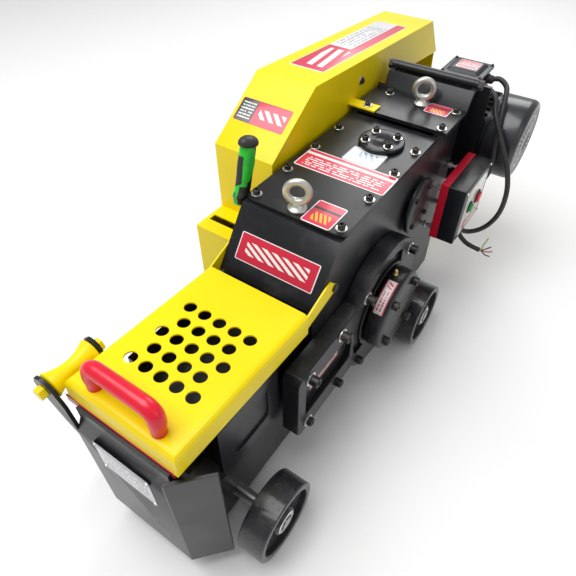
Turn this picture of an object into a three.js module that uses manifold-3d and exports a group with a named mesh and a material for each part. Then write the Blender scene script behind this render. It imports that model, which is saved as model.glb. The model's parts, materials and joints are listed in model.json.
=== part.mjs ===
// Bar cutting machine: flywheel, two gear stages, crank and a sliding blade.
// Millimetres, +Z up, the cutting end faces -Y, the motor end +Y.
import {
  BufferGeometry, CatmullRomCurve3, ExtrudeGeometry, Float32BufferAttribute, Group, LatheGeometry, Matrix4,
  Mesh, MeshStandardMaterial, Path, Shape, TorusGeometry, Vector2, Vector3,
} from 'three';
import { mergeVertices } from 'three/addons/utils/BufferGeometryUtils.js';
import Module from 'manifold-3d';

const wasm = await Module();
wasm.setup();

// ---------------------------------------------------------------- driving dimensions
// The layout is drawn with X = 0 on the gearbox centre line, Y = 0 at the front edge of
// the top plate and Z = 0 on the ground, then moved by ORIGIN.
const ORIGIN = [14, -221, 0];
const GAP = 0.3;               // free gap between touching parts
const BODY_HALF = 100;         // gearbox half width
const WALL = 12;
const BODY_REAR = 515;
const BODY_FRONT = -82;
const BODY_FLOOR = 28;
const TOP_Z = 461;             // top of the front cover plate
const TOP_LENGTH = 380;
const PLATE = 8;               // cover plate thickness
const REAR_Z = 474;            // top of the rear plate
const SLOPE_FOOT_Z = 351;
const CRANK = [142, 203];      // y, z of the crankshaft
const LAY = [286.6, 231.3];    // y, z of the layshaft
const INPUT = [317, 335];      // y, z of the input shaft
const MOTOR = [680, 352];      // y, z of the motor shaft
const THROW = 20;              // crank throw, half the blade stroke
const FLYWHEEL_R = 174;
const MOTOR_PULLEY_R = 36;
const HINGE = [537, 516];      // y, z of the motor hinge rod
const COVER_HINGE = [-22, 368];
const COVER_TILT = 3.3;        // degrees the closed cover rises towards its front
const LEVER = [-4, 300];      // y, z of the clutch lever shaft
const MOUTH_Z = 165;           // floor of the bar mouth
const ROLLER = [-129, 370];    // x, z of the feed roller
const WHEEL_R = 75;
const WHEEL_X = [146, 196];
const AXLE_Y = { front: -298, rear: 277 };
const AXLE_R = 12;
const GUARD_X = [-249, -110];

// ---------------------------------------------------------------- materials
const paint = (color, roughness = 0.4, metalness = 0.1) =>
  new MeshStandardMaterial({ color, roughness, metalness });
const BLACK = paint(0x1b1d20, 0.35, 0.2);
const YELLOW = paint(0xf5e400, 0.35, 0.05);
const RED = paint(0xd21f3c, 0.4, 0.05);
const STEEL = paint(0x8d9196, 0.35, 0.9);
const ZINC = paint(0xc9cbc8, 0.3, 0.9);
const BRASS = paint(0xb58f3a, 0.35, 0.9);
const RUBBER = paint(0x17181a, 0.8, 0);
const GREEN = paint(0x22b14c, 0.6, 0);
const IRON = paint(0x3a3d40, 0.6, 0.5);

// ---------------------------------------------------------------- solid helpers
function weld(geometry) {
  const bare = new BufferGeometry();
  bare.setAttribute('position', geometry.getAttribute('position').clone());
  if (geometry.index) {
    bare.setIndex(geometry.index.clone());
  }
  const welded = mergeVertices(bare, 1e-3);
  const p = welded.getAttribute('position');
  const source = welded.index.array;
  const index = [];
  let volume = 0;
  const a = new Vector3();
  const b = new Vector3();
  const c = new Vector3();
  for (let i = 0; i < source.length; i += 3) {
    const [u, v, w] = [source[i], source[i + 1], source[i + 2]];
    if (u === v || v === w || w === u) {
      continue;
    }
    index.push(u, v, w);
    a.fromBufferAttribute(p, u);
    b.fromBufferAttribute(p, v);
    c.fromBufferAttribute(p, w);
    volume += a.dot(b.cross(c));
  }
  if (volume < 0) {
    index.reverse();
  }
  return { positions: new Float32Array(p.array), index: new Uint32Array(index) };
}

function solid(geometry) {
  const { positions, index } = weld(geometry);
  return new wasm.Manifold(new wasm.Mesh({ numProp: 3, vertProperties: positions, triVerts: index }));
}

function toGeometry(body) {
  const mesh = body.getMesh();
  const geometry = new BufferGeometry();
  geometry.setAttribute('position', new Float32BufferAttribute(mesh.vertProperties, 3));
  geometry.setIndex(Array.from(mesh.triVerts));
  return geometry;
}

const join = (...bodies) => bodies.reduce((all, next) => all.add(next));
const cut = (body, ...tools) => tools.reduce((left, tool) => left.subtract(tool), body);

function outline(points, holes) {
  const shape = new Shape(points.map(([u, v]) => new Vector2(u, v)));
  for (const hole of holes) {
    shape.holes.push(new Path(hole.map(([u, v]) => new Vector2(u, v))));
  }
  return shape;
}

const flat = (points, depth, holes) =>
  new ExtrudeGeometry(outline(points, holes), { depth, bevelEnabled: false, steps: 1 });

// Prism of a y,z outline between two x values.
function prismX(points, x0, x1, holes = []) {
  const turn = new Matrix4().makeBasis(new Vector3(0, 1, 0), new Vector3(0, 0, 1), new Vector3(1, 0, 0));
  return solid(flat(points, x1 - x0, holes).applyMatrix4(turn).translate(x0, 0, 0));
}

// Prism of an x,z outline between two y values.
function prismY(points, y0, y1, holes = []) {
  const turn = new Matrix4().makeBasis(new Vector3(1, 0, 0), new Vector3(0, 0, 1), new Vector3(0, -1, 0));
  return solid(flat(points, y1 - y0, holes).applyMatrix4(turn).translate(0, y1, 0));
}

// Prism of an x,y outline between two z values.
const prismZ = (points, z0, z1, holes = []) => solid(flat(points, z1 - z0, holes).translate(0, 0, z0));

const rect = (u0, u1, v0, v1) => [[u0, v0], [u1, v0], [u1, v1], [u0, v1]];
const box = (x0, x1, y0, y1, z0, z1) => prismZ(rect(x0, x1, y0, y1), z0, z1);

function circle(u, v, r, n = 32, start = 0) {
  const points = [];
  for (let i = 0; i < n; i += 1) {
    const t = start + (2 * Math.PI * i) / n;
    points.push([u + r * Math.cos(t), v + r * Math.sin(t)]);
  }
  return points;
}

// Rectangle with rounded corners.
function rounded(u0, u1, v0, v1, r, n = 3) {
  const points = [];
  const corners = [[u1 - r, v1 - r, 0], [u0 + r, v1 - r, 1], [u0 + r, v0 + r, 2], [u1 - r, v0 + r, 3]];
  for (const [u, v, quarter] of corners) {
    for (let i = 0; i <= n; i += 1) {
      const t = (quarter + i / n) * Math.PI / 2;
      points.push([u + r * Math.cos(t), v + r * Math.sin(t)]);
    }
  }
  return points;
}

const cylX = (y, z, r, x0, x1, n = 16) => prismX(circle(y, z, r, n), x0, x1);
const cylY = (x, z, r, y0, y1, n = 16) => prismY(circle(x, z, r, n), y0, y1);
const cylZ = (x, y, r, z0, z1, n = 16) => prismZ(circle(x, y, r, n), z0, z1);
const hexX = (y, z, across, x0, x1) => cylX(y, z, across / Math.sqrt(3), x0, x1, 6);
const hexY = (x, z, across, y0, y1) => cylY(x, z, across / Math.sqrt(3), y0, y1, 6);

// Turned body about an X axis at y,z; the profile lists [radius, x].
function turnedX(profile, y, z, n = 32) {
  const geometry = new LatheGeometry(profile.map(([r, x]) => new Vector2(r, x)), n);
  const turn = new Matrix4().makeBasis(new Vector3(0, 0, 1), new Vector3(1, 0, 0), new Vector3(0, 1, 0));
  return solid(geometry.applyMatrix4(turn).translate(0, y, z));
}

// Turned body about a Y axis at x,z; the profile lists [radius, y].
const turnedY = (profile, x, z, n = 32) =>
  solid(new LatheGeometry(profile.map(([r, y]) => new Vector2(r, y)), n).translate(x, 0, z));

// Turned body about a Z axis at x,y; the profile lists [radius, z].
function turnedZ(profile, x, y, n = 32) {
  const geometry = new LatheGeometry(profile.map(([r, z]) => new Vector2(r, z)), n);
  return solid(geometry.rotateX(Math.PI / 2).translate(x, y, 0));
}

// Round tube or cord along a list of points.
function tube(points, radius, sides, steps) {
  const path = new CatmullRomCurve3(points.map((p) => new Vector3(...p)), false, 'centripetal');
  const section = new Shape(circle(0, 0, radius, sides).map(([u, v]) => new Vector2(u, v)));
  return solid(new ExtrudeGeometry(section, { steps, bevelEnabled: false, extrudePath: path }));
}

// ---------------------------------------------------------------- gearbox
function slopeY(z) {
  return BODY_FRONT * (TOP_Z - z) / (TOP_Z - SLOPE_FOOT_Z);
}

function gearboxBody() {
  const low = TOP_Z - PLATE - GAP;
  const high = REAR_Z - PLATE - GAP;
  const outer = [
    [BODY_FRONT, BODY_FLOOR], [BODY_REAR, BODY_FLOOR], [BODY_REAR, high], [TOP_LENGTH + 2, high],
    [TOP_LENGTH + 2, low], [slopeY(low), low], [BODY_FRONT, SLOPE_FOOT_Z],
  ];
  const inner = [
    [BODY_FRONT + WALL, BODY_FLOOR + WALL], [BODY_REAR - WALL, BODY_FLOOR + WALL],
    [BODY_REAR - WALL, high + 20], [slopeY(high + 20) + 16, high + 20],
    [slopeY(low) + 16, low], [BODY_FRONT + WALL, SLOPE_FOOT_Z - 4],
  ];
  const shell = prismX(outer, -BODY_HALF, BODY_HALF).subtract(prismX(inner, -BODY_HALF + WALL,
      BODY_HALF - WALL));
  return cut(
    shell,
    cylX(...CRANK, 34, -BODY_HALF - 1, -80),
    cylX(...CRANK, 45, 80, BODY_HALF + 1),
    cylX(...LAY, 18.9, -BODY_HALF - 1, BODY_HALF + 1),
    cylX(...INPUT, 20.4, -BODY_HALF - 1, BODY_HALF + 1),
    cylX(...LEVER, 10.4, -BODY_HALF - 1, -80, 16),
    cylX(...COVER_HINGE, 5.3, -BODY_HALF - 1, BODY_HALF + 1, 12),
    box(-36.4, 36.4, BODY_FRONT - 1, BODY_FRONT + WALL + 1, CRANK[1] - 46.4, CRANK[1] + 46.4),
    cylX(AXLE_Y.rear, WHEEL_R, AXLE_R + GAP, -BODY_HALF - 1, BODY_HALF + 1, 24),
  );
}

function topCoverPlate() {
  const y0 = 1;
  const plan = rounded(-BODY_HALF, BODY_HALF, y0, TOP_LENGTH + 1.5, 2);
  const front = rounded(-BODY_HALF, BODY_HALF, y0, TOP_LENGTH - 40, 16);
  const plate = prismZ(front, TOP_Z - PLATE, TOP_Z)
    .add(prismZ(plan, TOP_Z - PLATE, TOP_Z).intersect(box(-120, 120, 60, 500, 0, 900)));
  return cut(plate, cylZ(16, 295, 34, 400, 500), cylZ(-3, 22, 6.3, 400, 500, 16));
}

function fillerCover() {
  return turnedZ([[0, TOP_Z - 6], [33, TOP_Z - 6], [33, TOP_Z + GAP], [46, TOP_Z + GAP], [46, TOP_Z + 7],
    [44, TOP_Z + 9], [0, TOP_Z + 9]], 16, 295, 28);
}

function rearTopPlate() {
  const t = PLATE;
  const fold = [494, REAR_Z];
  const top = [515, 510];
  const side = [
    [TOP_LENGTH + 2.5, REAR_Z - t], [fold[0] + 4, REAR_Z - t], [top[0] + 7, top[1] - 5],
    [top[0] + 7, top[1]], [top[0], top[1]], [fold[0], fold[1]], [TOP_LENGTH + 2.5, REAR_Z],
  ];
  const lug = (x0, x1) => cylX(...HINGE, 11, x0, x1, 24)
    .add(prismX([[512, 498], [540, 505.2], [540, 516], [516, 510]], x0, x1));
  const bent = prismX(side, -BODY_HALF, 114);
  return cut(
    join(bent, lug(-84, -72), lug(104, 114)),
    cylX(...HINGE, 7.3, -120, 140, 20),
    cylZ(20, 472, 6.3, 440, 500, 16),
    box(-120, -84, 500, 560, 480, 540),
  );
}

function eyebolt(x, y, z) {
  const ring = solid(new TorusGeometry(20.5, 6.5, 6, 16).rotateX(Math.PI / 2).rotateZ(Math.PI / 7)
    .translate(x, y, z + 36));
  const foot = turnedZ([[0, z - 12], [6, z - 12], [6, z + GAP], [16, z + GAP], [16, z + 5],
      [11, z + 8], [9, z + 14],
    [0, z + 14]], x, y, 12);
  return ring.add(foot);
}

function sideHousing() {
  const [cy, cz] = CRANK;
  const R = 147;
  const points = [];
  const from = Math.PI - Math.asin(88 / R);
  const to = -Math.PI + Math.asin(88 / R);
  for (let i = 0; i <= 22; i += 1) {
    const t = to + (from - to) * i / 22;
    points.push([cy + R * Math.cos(t), cz + R * Math.sin(t)]);
  }
  points.push([-165, cz + 88], [-175, cz + 76], [-175, cz - 76], [-165, cz - 88]);
  const plate = prismX(points, BODY_HALF + GAP, 135);
  const pocket = prismX([[-150, cz - 40], [10, cz - 40], [10, cz + 40], [-150, cz + 40]], 121, 140);
  const lipOuter = prismX(circle(cy, cz, 122, 40), 127, 140);
  const lipInner = prismX(circle(cy, cz, 96, 40), 120, 141);
  return cut(
    plate,
    pocket,
    lipOuter.subtract(lipInner).intersect(box(100, 141, -100, cy + 60, cz - 60, cz + 200)),
    cylX(cy, cz, 40, 90, 140),
    cylX(AXLE_Y.rear, WHEEL_R, AXLE_R + 3, 90, 140, 24),
    box(90, 140, 200, 400, 0, 92),
  );
}

function bearingCap() {
  return turnedX([[0, 150], [32, 150], [32, 135 + GAP], [80, 135 + GAP], [88, 139], [88, 168],
      [84, 172], [0, 172]],
    ...CRANK, 28).subtract(cylZ(150, CRANK[0], 3.3, 280, 300, 10));
}

function greaseNipple() {
  return turnedZ([[0, 284], [3, 284], [3, 291.5], [5, 291.5], [5, 296], [3, 298], [3, 301],
      [4, 302.5], [2, 306],
    [0, 306]], 150, CRANK[0], 12);
}

function shaftCover() {
  const x = BODY_HALF + GAP;
  return turnedX([[0, x + 6], [24, x + 6], [24, x], [62, x], [62, x + 12], [58, x + 15],
      [0, x + 15]], ...INPUT, 24);
}

function bush(x0, x1, inner, outer) {
  return turnedX([[inner, x0], [outer, x0], [outer, x1], [inner, x1], [inner, x0]], ...CRANK, 16);
}

// ---------------------------------------------------------------- cutting end
function frontFrame() {
  const half = 88;
  const side = [
    [-424, BODY_FLOOR + 30], [-380, BODY_FLOOR], [BODY_FRONT - GAP, BODY_FLOOR], [BODY_FRONT - GAP, 300],
    [-312, 300], [-312, MOUTH_Z], [-394, MOUTH_Z], [-394, 292], [-424, 292],
  ];
  const frame = prismX(side, -half, half);
  const rearEar = prismY([[-90, 262], [-88, 250], [-80, 250], [-80, 296], [-100, 300], [-109, 330],
      [-109, 370],
    [-114, 385], [-124, 391], [-136, 391], [-146, 383], [-149, 369], [-144, 355]], -343, -337);
  const earRoot = box(-100, -80, -343, -300, 256, 296);
  const cheek = box(-98, -87, -312, BODY_FRONT - GAP, 264, 340);
  return cut(
    join(frame, earRoot, rearEar, cheek),
    box(-36.4, 36.4, -352, 0, CRANK[1] - 46.4, CRANK[1] + 46.4),
    cylY(...ROLLER, 6.4, -360, -320, 16),
    cylX(AXLE_Y.front, WHEEL_R, AXLE_R + GAP, -200, 200, 24),
    cylX(-250, 110, 30, -half - 1, -50, 24),
  );
}

function frontPanel() {
  const t = 6;
  const y = -431;
  const face = [
    [-93, 49], [93, 49], [93, 300], [-88, 300], [-94, 352], [-108, 381], [-118, 391], [-131, 393],
    [-144, 388],
    [-151, 374], [-149, 360], [-111, 303], [-93, 284],
  ];
  const front = prismY(face, y, y + t);
  const band = prismX([[y, 296], [y + t, 296], [y + 17, 320], [y + 17, 346], [y + 12, 346], [y + 12, 322],
    [y, 300]], -88, 93);
  const wing = prismZ([[90, y], [93, y], [141, y + 53], [139, y + 57], [88, y + 4]], 49, 338);
  const wingLeft = prismZ([[-93, y], [-90, y], [-90, y + 60], [-93, y + 60]], 49, 284);
  return cut(
    join(front, band, wing, wingLeft),
    cylY(...ROLLER, 6.4, y - 5, y + t + 5, 16),
  );
}

function fixedBlade() {
  return box(-27, -0.4, -394 + GAP, -372, MOUTH_Z + 6, MOUTH_Z + 70)
    .subtract(cylY(-13.5, 203, 6, -400, -380, 16));
}

function sidePlate() {
  return prismX([[-330, 200], [-318, 186], [-182, 186], [-182, 322], [-330, 322]], 88 + GAP, 98)
    .subtract(prismX(rounded(-300, -210, 214, 290, 12), 94, 110));
}

// ---------------------------------------------------------------- ram and crank
function ram() {
  const z = CRANK[1];
  const block = box(-36, 36, -308, -66, z - 46, z + 46);
  return cut(
    block,
    box(-14.5, 14.5, -122, -60, z - 50, z + 50),
    cylX(-92, z, 12.3, -50, 50, 24),
    box(-40, 40, -230, -210, z + 41, z + 50),
  );
}

function movingBlade() {
  return box(0.4, 27, -330, -308 - GAP, MOUTH_Z + 6, MOUTH_Z + 70)
    .subtract(cylY(13.5, 203, 6, -340, -320, 16));
}

function connectingRod() {
  const [cy, cz] = CRANK;
  const eye = cylX(-92, cz, 22, -14, 14, 28);
  const shank = box(-14, 14, -92, cy - 50, cz - 20, cz + 20);
  const yoke = prismX(rounded(cy - 72, cy + 102, cz - 64, cz + 64, 30), -14, 14);
  return cut(
    join(eye, shank, yoke),
    prismX(rounded(cy - 56, cy + 86, cz - 48, cz + 48, 26), -20, 20),
    cylX(-92, cz, 12.3, -50, 50, 24),
  );
}

function crankshaft() {
  const [cy, cz] = CRANK;
  return join(
    cylX(cy, cz, 25, -BODY_HALF, -17.5),
    cylX(cy, cz, 50, -38, -17),
    cylX(cy + THROW, cz, 26, -17.5, 17.5),
    cylX(cy, cz, 50, 17, 38),
    cylX(cy, cz, 25, 37.5, 148),
  );
}

// Toothed disc about an X axis; phase is the angle of one tooth centre.
function gear(teeth, module, centre, x0, x1, bore, phase) {
  const points = [];
  const step = (2 * Math.PI) / teeth;
  const pitch = teeth * module / 2;
  const at = (radius, angle) => [centre[0] + radius * Math.cos(angle), centre[1] + radius * Math.sin(angle)];
  for (let i = 0; i < teeth; i += 1) {
    const middle = phase + i * step;
    points.push(at(pitch - 1.25 * module, middle - 0.31 * step), at(pitch + 0.85 * module,
        middle - 0.1 * step));
    points.push(at(pitch + 0.85 * module, middle + 0.1 * step), at(pitch - 1.25 * module,
        middle + 0.31 * step));
  }
  return prismX(points, x0, x1, bore > 0 ? [circle(...centre, bore, 16).reverse()] : []);
}

const toward = (from, to) => Math.atan2(to[1] - from[1], to[0] - from[0]);

function crankGear() {
  return gear(48, 5, CRANK, -76, -42, 25.3, toward(CRANK, LAY));
}

function layshaft() {
  const [y, z] = LAY;
  return join(
    cylX(y, z, 18, -BODY_HALF + 1, BODY_HALF - 1),
    gear(11, 5, LAY, -79, -39, 0, toward(LAY, CRANK) + Math.PI / 11),
    gear(43, 4, LAY, 44, 68, 0, toward(LAY, INPUT) + Math.PI / 43),
  );
}

function inputShaft() {
  const [y, z] = INPUT;
  return join(
    cylX(y, z, 16, -236, 41),
    gear(11, 4, INPUT, 40, 72, 0, toward(INPUT, LAY)),
    cylX(y, z, 16, 71, BODY_HALF + 4),
  );
}

function flywheel() {
  const R = FLYWHEEL_R;
  const section = [
    [16.3, -228], [40, -228], [40, -200], [R - 34, -200], [R - 34, -225], [R, -225], [R, -213], [R - 8, -209],
    [R - 8, -199], [R, -195], [R, -155], [R - 34, -155], [R - 34, -180], [40, -180], [40, -150], [16.3, -150],
    [16.3, -228],
  ];
  const holes = [0, 1, 2, 3].map((i) => {
    const t = (Math.PI * i) / 2;
    return cylX(INPUT[0] + 98 * Math.cos(t), INPUT[1] + 98 * Math.sin(t), 34, -210, -170, 10);
  });
  return cut(turnedX(section, ...INPUT, 28), ...holes);
}

// ---------------------------------------------------------------- motor
function motorBody() {
  const [y, z] = MOTOR;
  const barrel = turnedX([[18.4, -92], [60, -92], [84, -80], [84, 140], [18.4, 140], [18.4, -92]], y, z, 24);
  const fins = [];
  for (let i = 0; i < 8; i += 1) {
    const t = (2 * Math.PI * (i + 0.5)) / 8;
    const fin = box(-70, 138, y + 80, y + 92, z - 1.6, z + 1.6);
    fins.push(fin.translate([0, -y, -z]).rotate([t * 180 / Math.PI, 0, 0]).translate([0, y, z]));
  }
  const feet = join(box(-70, -30, y - 96 + GAP, y - 60, z - 72, z + 72), box(90, 130, y - 96 + GAP,
      y - 60, z - 72, z + 72));
  const bore = turnedX([[0, -70], [70, -70], [70, 130], [0, 130]], y, z, 16);
  const neck = box(10, 80, y - 34, y + 22, z + 70, z + 100);
  return join(barrel, ...fins, feet, neck).subtract(bore)
    .subtract(cylX(y, z, 18.4, -100, 160, 28));
}

function fanCowl() {
  const [y, z] = MOTOR;
  const shell = turnedX([[90.5, 141], [94.5, 141], [94.5, 214], [90, 221], [0, 221], [0, 217],
      [87, 217], [90.5, 212],
    [90.5, 141]], y, z, 36);
  const slots = [];
  for (let i = 0; i < 12; i += 1) {
    const t = (360 * i) / 12;
    slots.push(box(210, 230, y + 50, y + 82, z - 4, z + 4).translate([0, -y, -z]).rotate([t, 0, 0])
      .translate([0, y, z]));
  }
  return cut(shell, ...slots);
}

function motorRotor() {
  const [y, z] = MOTOR;
  const shaft = cylX(y, z, 14, -222, 200);
  const core = cylX(y, z, 58, -55, 115);
  const fan = cylX(y, z, 26, 172, 205);
  const blades = [0, 1, 2, 3].map((i) => box(174, 203, y + 20, y + 78, z - 1.5, z + 1.5)
    .translate([0, -y, -z]).rotate([90 * i, 0, 0]).translate([0, y, z]));
  return join(shaft, core, fan, ...blades);
}

function motorPulley() {
  const R = MOTOR_PULLEY_R;
  return turnedX([[14.3, -225], [R, -225], [R, -213], [R - 8, -209], [R - 8, -199], [R, -195], [R, -180],
    [24, -180], [24, -165], [14.3, -165], [14.3, -225]], ...MOTOR, 20);
}

function terminalBox() {
  const [y, z] = MOTOR;
  const yc = y - 12;
  const lower = prismZ(rounded(5, 85, yc - 42, yc + 42, 8), z + 100 + GAP, z + 136);
  const lid = prismZ(rounded(-4, 95, yc - 50, yc + 50, 10), z + 135.5, z + 148);
  return join(lower, lid).subtract(box(12, 78, yc - 34, yc + 34, z + 106, z + 136))
    .subtract(box(30, 60, yc - 10, yc + 10, z + 90, z + 110));
}

function motorPlate() {
  const [y, z] = MOTOR;
  const y0 = y - 106;
  const upright = box(-84, 132, y0, y0 + 10 - GAP, z - 100, 500);
  const arm = prismX([[HINGE[0], HINGE[1] - 8], [y0 + 9, 485], [y0 + 9, 500],
      [HINGE[0] + 8, HINGE[1] + 8]], -70, 102);
  const sleeve = cylX(...HINGE, 11, -71.5, 103.5, 24);
  return join(upright, arm, sleeve).subtract(cylX(...HINGE, 7.4, -100, 130, 20))
    .subtract(cylX(y, z, 45, -100, -40, 24));
}

function hingeRod() {
  return join(cylX(...HINGE, 7, -90, 120, 20), hexX(...HINGE, 19, -93, -84 - GAP), hexX(...HINGE, 19,
      114 + GAP, 123));
}

function driveBelt() {
  const [a, b] = [INPUT, MOTOR];
  const ring = (extra) => {
    const rA = FLYWHEEL_R - 7 + extra;
    const rB = MOTOR_PULLEY_R - 7 + extra;
    const d = Math.hypot(b[0] - a[0], b[1] - a[1]);
    const line = toward(a, b);
    const lean = Math.acos((rA - rB) / d);
    const points = [];
    for (let i = 0; i <= 28; i += 1) {
      const t = line + lean + (2 * Math.PI - 2 * lean) * i / 28;
      points.push([a[0] + rA * Math.cos(t), a[1] + rA * Math.sin(t)]);
    }
    for (let i = 0; i <= 10; i += 1) {
      const t = line - lean + 2 * lean * i / 10;
      points.push([b[0] + rB * Math.cos(t), b[1] + rB * Math.sin(t)]);
    }
    return points;
  };
  return prismX(ring(7.5), -208.6, -199.4, [ring(0.3).reverse()]);
}

// ---------------------------------------------------------------- guards
const GUARD_SIDE = [
  [16, 152.5], [560, 152.5], [884, 330], [884, 379], [878, 434], [811, 528], [243, 564], [98, 469],
  [98, 320], [16, 320],
];

function inset(points, d) {
  const out = [];
  const n = points.length;
  for (let i = 0; i < n; i += 1) {
    const [p, q, r] = [points[(i + n - 1) % n], points[i], points[(i + 1) % n]];
    const e1 = new Vector2(q[0] - p[0], q[1] - p[1]).normalize();
    const e2 = new Vector2(r[0] - q[0], r[1] - q[1]).normalize();
    const k = d / (1 + e1.dot(e2));
    out.push([q[0] + k * (-e1.y - e2.y), q[1] + k * (e1.x + e2.x)]);
  }
  return out;
}

function beltGuard() {
  const [x0, x1] = GUARD_X;
  const shell = prismX(GUARD_SIDE, x0, x1).subtract(prismX(inset(GUARD_SIDE, 4), x0 + 4, x1 - 4));
  const openingSide = [[525, 170], [600, 170], [890, 340], [890, 430], [740, 444], [600, 470], [525, 470]];
  const rearOpening = prismX(openingSide, x1 - 5, x1 + 1);
  const tab = join(box(-112, -46, 378, 408, REAR_Z + GAP, REAR_Z + 4), box(x1 - 4, x1, 378, 408, 470,
      REAR_Z + 4));
  return cut(
    join(shell, tab),
    rearOpening,
    box(-240, -176, 47, 65, 310, 330),
    cylX(...INPUT, 60, x1 - 10, x1 + 10, 32),
    cylZ(-70, 394, 4.4, 470, 490, 14),
  );
}

function coverBolt(side) {
  const [y, z] = COVER_HINGE;
  const sign = side;
  const a = sign * (BODY_HALF - 14);
  const b = sign * 107.6;
  const span = (u, v) => [Math.min(u, v), Math.max(u, v)];
  return join(
    cylX(y, z, 5, ...span(a, b), 12),
    cylX(y, z, 8, ...span(sign * (104 + GAP), b), 12),
  );
}

// ---------------------------------------------------------------- safety cover
function tilt(body) {
  const [y, z] = [-104, 373.6];
  return body.translate([0, -y, -z]).rotate([-COVER_TILT, 0, 0]).translate([0, y, z]);
}

const COVER = { half: 106, rear: -104, front: -411, top: 373.6, deep: 42, sheet: 3, bend: 12 };

// A block with its two upper edges along Y and its upper front edge rounded.
function coverBlock(half, front, rear, top, bottom, r) {
  const arc = (cu, cv, start) => [0, 1, 2, 3, 4, 5].map((i) => {
    const t = start + (i * Math.PI) / 10;
    return [cu + r * Math.cos(t), cv + r * Math.sin(t)];
  });
  const across = prismY(
    [[-half, bottom], [half, bottom], ...arc(half - r, top - r, 0), ...arc(-half + r, top - r, Math.PI / 2)],
    front - 1,
    rear,
  );
  const side = [[front, bottom], [rear, bottom], [rear, top], ...arc(front + r, top - r, Math.PI / 2)];
  return across.intersect(prismX(side, -half - 1, half + 1));
}

function safetyCover() {
  const c = COVER;
  const outer = coverBlock(c.half, c.front, c.rear, c.top, c.top - c.deep, c.bend);
  const inner = coverBlock(c.half - c.sheet, c.front + c.sheet, c.rear + 20, c.top - c.sheet,
    c.top - c.deep - 20, c.bend - c.sheet);
  const holes = [];
  const rows = [5, 4, 5, 4, 5];
  rows.forEach((count, row) => {
    for (let i = 0; i < count; i += 1) {
      const x = 0.8 + (i - (count - 1) / 2) * 30.2;
      holes.push(cylZ(x, -200.5 - 31.8 * row, 11, c.top - 10, c.top + 10, 18));
    }
  });
  const body = cut(outer, inner, ...holes);
  const arms = [-1, 1].map((sign) => {
    const x0 = sign > 0 ? 101 : -104;
    const [hy, hz] = COVER_HINGE;
    const strip = prismX([[-112, 341], [-100, 341], [hy + 6, hz - 8], [hy + 9, hz + 2], [hy, hz + 10],
      [-36, 392], [-48, 390], [-112, 366]], x0, x0 + 3);
    return strip.subtract(cylX(hy, hz, 5.4, x0 - 5, x0 + 8, 12));
  });
  return join(tilt(body), ...arms).subtract(cylY(-58, 400, 4.3, -420, -380, 12));
}

function coverHandle() {
  const top = COVER.top;
  const y = -392;
  const points = [[-60, y, top + GAP], [-60, y, top + 26], [-58, y, top + 36], [-50, y, top + 43],
      [-38, y, top + 45],
    [40, y, top + 45], [52, y, top + 43], [60, y, top + 36], [62, y, top + 26], [62, y, top + GAP]];
  return tilt(tube(points, 13, 10, 18));
}

// ---------------------------------------------------------------- roller, lever, wheels
function feedRoller() {
  const y0 = -423;
  const y1 = -345;
  const mid = (y0 + y1) / 2;
  const profile = [[7, y0], [20, y0]];
  for (let i = 0; i <= 6; i += 1) {
    const t = -1 + i / 3;
    profile.push([12.5 + 9.5 * t * t, mid + t * 35]);
  }
  profile.push([20, y1], [7, y1], [7, y0]);
  return turnedY(profile, ...ROLLER, 16);
}

function rollerBolt() {
  return join(
    cylY(...ROLLER, 6, -440, -331, 16),
    hexY(...ROLLER, 19, -442, -431 - GAP),
    hexY(...ROLLER, 19, -337 + GAP, -328),
  );
}

// A y,z point on the leaning grip: distance up its axis and offset to its rear.
const GRIP = { foot: [15, 449], lean: 0.3, x: -116.5 };

function gripPoint(along, across) {
  const { foot, lean } = GRIP;
  return [
    foot[0] + along * Math.sin(lean) + across * Math.cos(lean),
    foot[1] + along * Math.cos(lean) - across * Math.sin(lean),
  ];
}

function clutchLever() {
  const [y, z] = LEVER;
  const tang = [gripPoint(-30, -6), gripPoint(-30, 6), gripPoint(88, 6), gripPoint(88, -6)];
  const arm = [[y - 10, z], [y + 10, z], gripPoint(-28, 6), gripPoint(-28, -6)];
  return join(
    prismX(arm, -109.3, -105),
    prismX(tang, -109.3, -105),
    cylX(y, z, 15, -109.3, -101, 20),
    cylX(y, z, 10, -104, -44, 16),
    prismX([[y - 10, z], [y + 10, z], [y + 6, z - 40], [y - 6, z - 40]], -58, -44),
  );
}

function leverGrip() {
  const profile = [[0, -14], [16, -14], [18, -8], [15, 4], [16.5, 40], [15, 72], [19, 90], [18, 98],
      [0, 100]];
  const [y, z] = GRIP.foot;
  const body = turnedZ(profile, 0, 0, 14).scale([0.8, 1, 1]).rotate([-GRIP.lean * 180 / Math.PI, 0, 0])
    .translate([GRIP.x, y, z]);
  const slot = [gripPoint(-40, -6.5), gripPoint(-40, 6.5), gripPoint(89, 6.5), gripPoint(89, -6.5)];
  return body.subtract(prismX(slot, -109.7, -95));
}

function wheel(y, side) {
  const [x0, x1] = WHEEL_X;
  const place = (p) => p.map(([r, x]) => [r, side > 0 ? x : -x]);
  return turnedX(place([[AXLE_R + GAP, x0 + 2], [26, x0 + 2], [26, x0 + 16], [62, x0 + 16], [62, x0],
    [WHEEL_R, x0], [WHEEL_R, x1], [62, x1], [60, x1 - 14], [26, x1 - 12], [24, x1 - 3],
    [AXLE_R + GAP, x1 - 3], [AXLE_R + GAP, x0 + 2]]), y, WHEEL_R, 20);
}

function axle(y) {
  const end = WHEEL_X[1] - 3;
  return join(
    cylX(y, WHEEL_R, AXLE_R, -end - 4, end + 4, 16),
    cylX(y, WHEEL_R, 18, -WHEEL_X[0] - 1, -BODY_HALF - 38, 12),
    cylX(y, WHEEL_R, 18, BODY_HALF + 38, WHEEL_X[0] + 1, 12),
  );
}

// ---------------------------------------------------------------- switch box and leads
const SWITCH = { x0: 128, x1: 186, y0: 387, y1: 549, z0: 214, z1: 357 };

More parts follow.
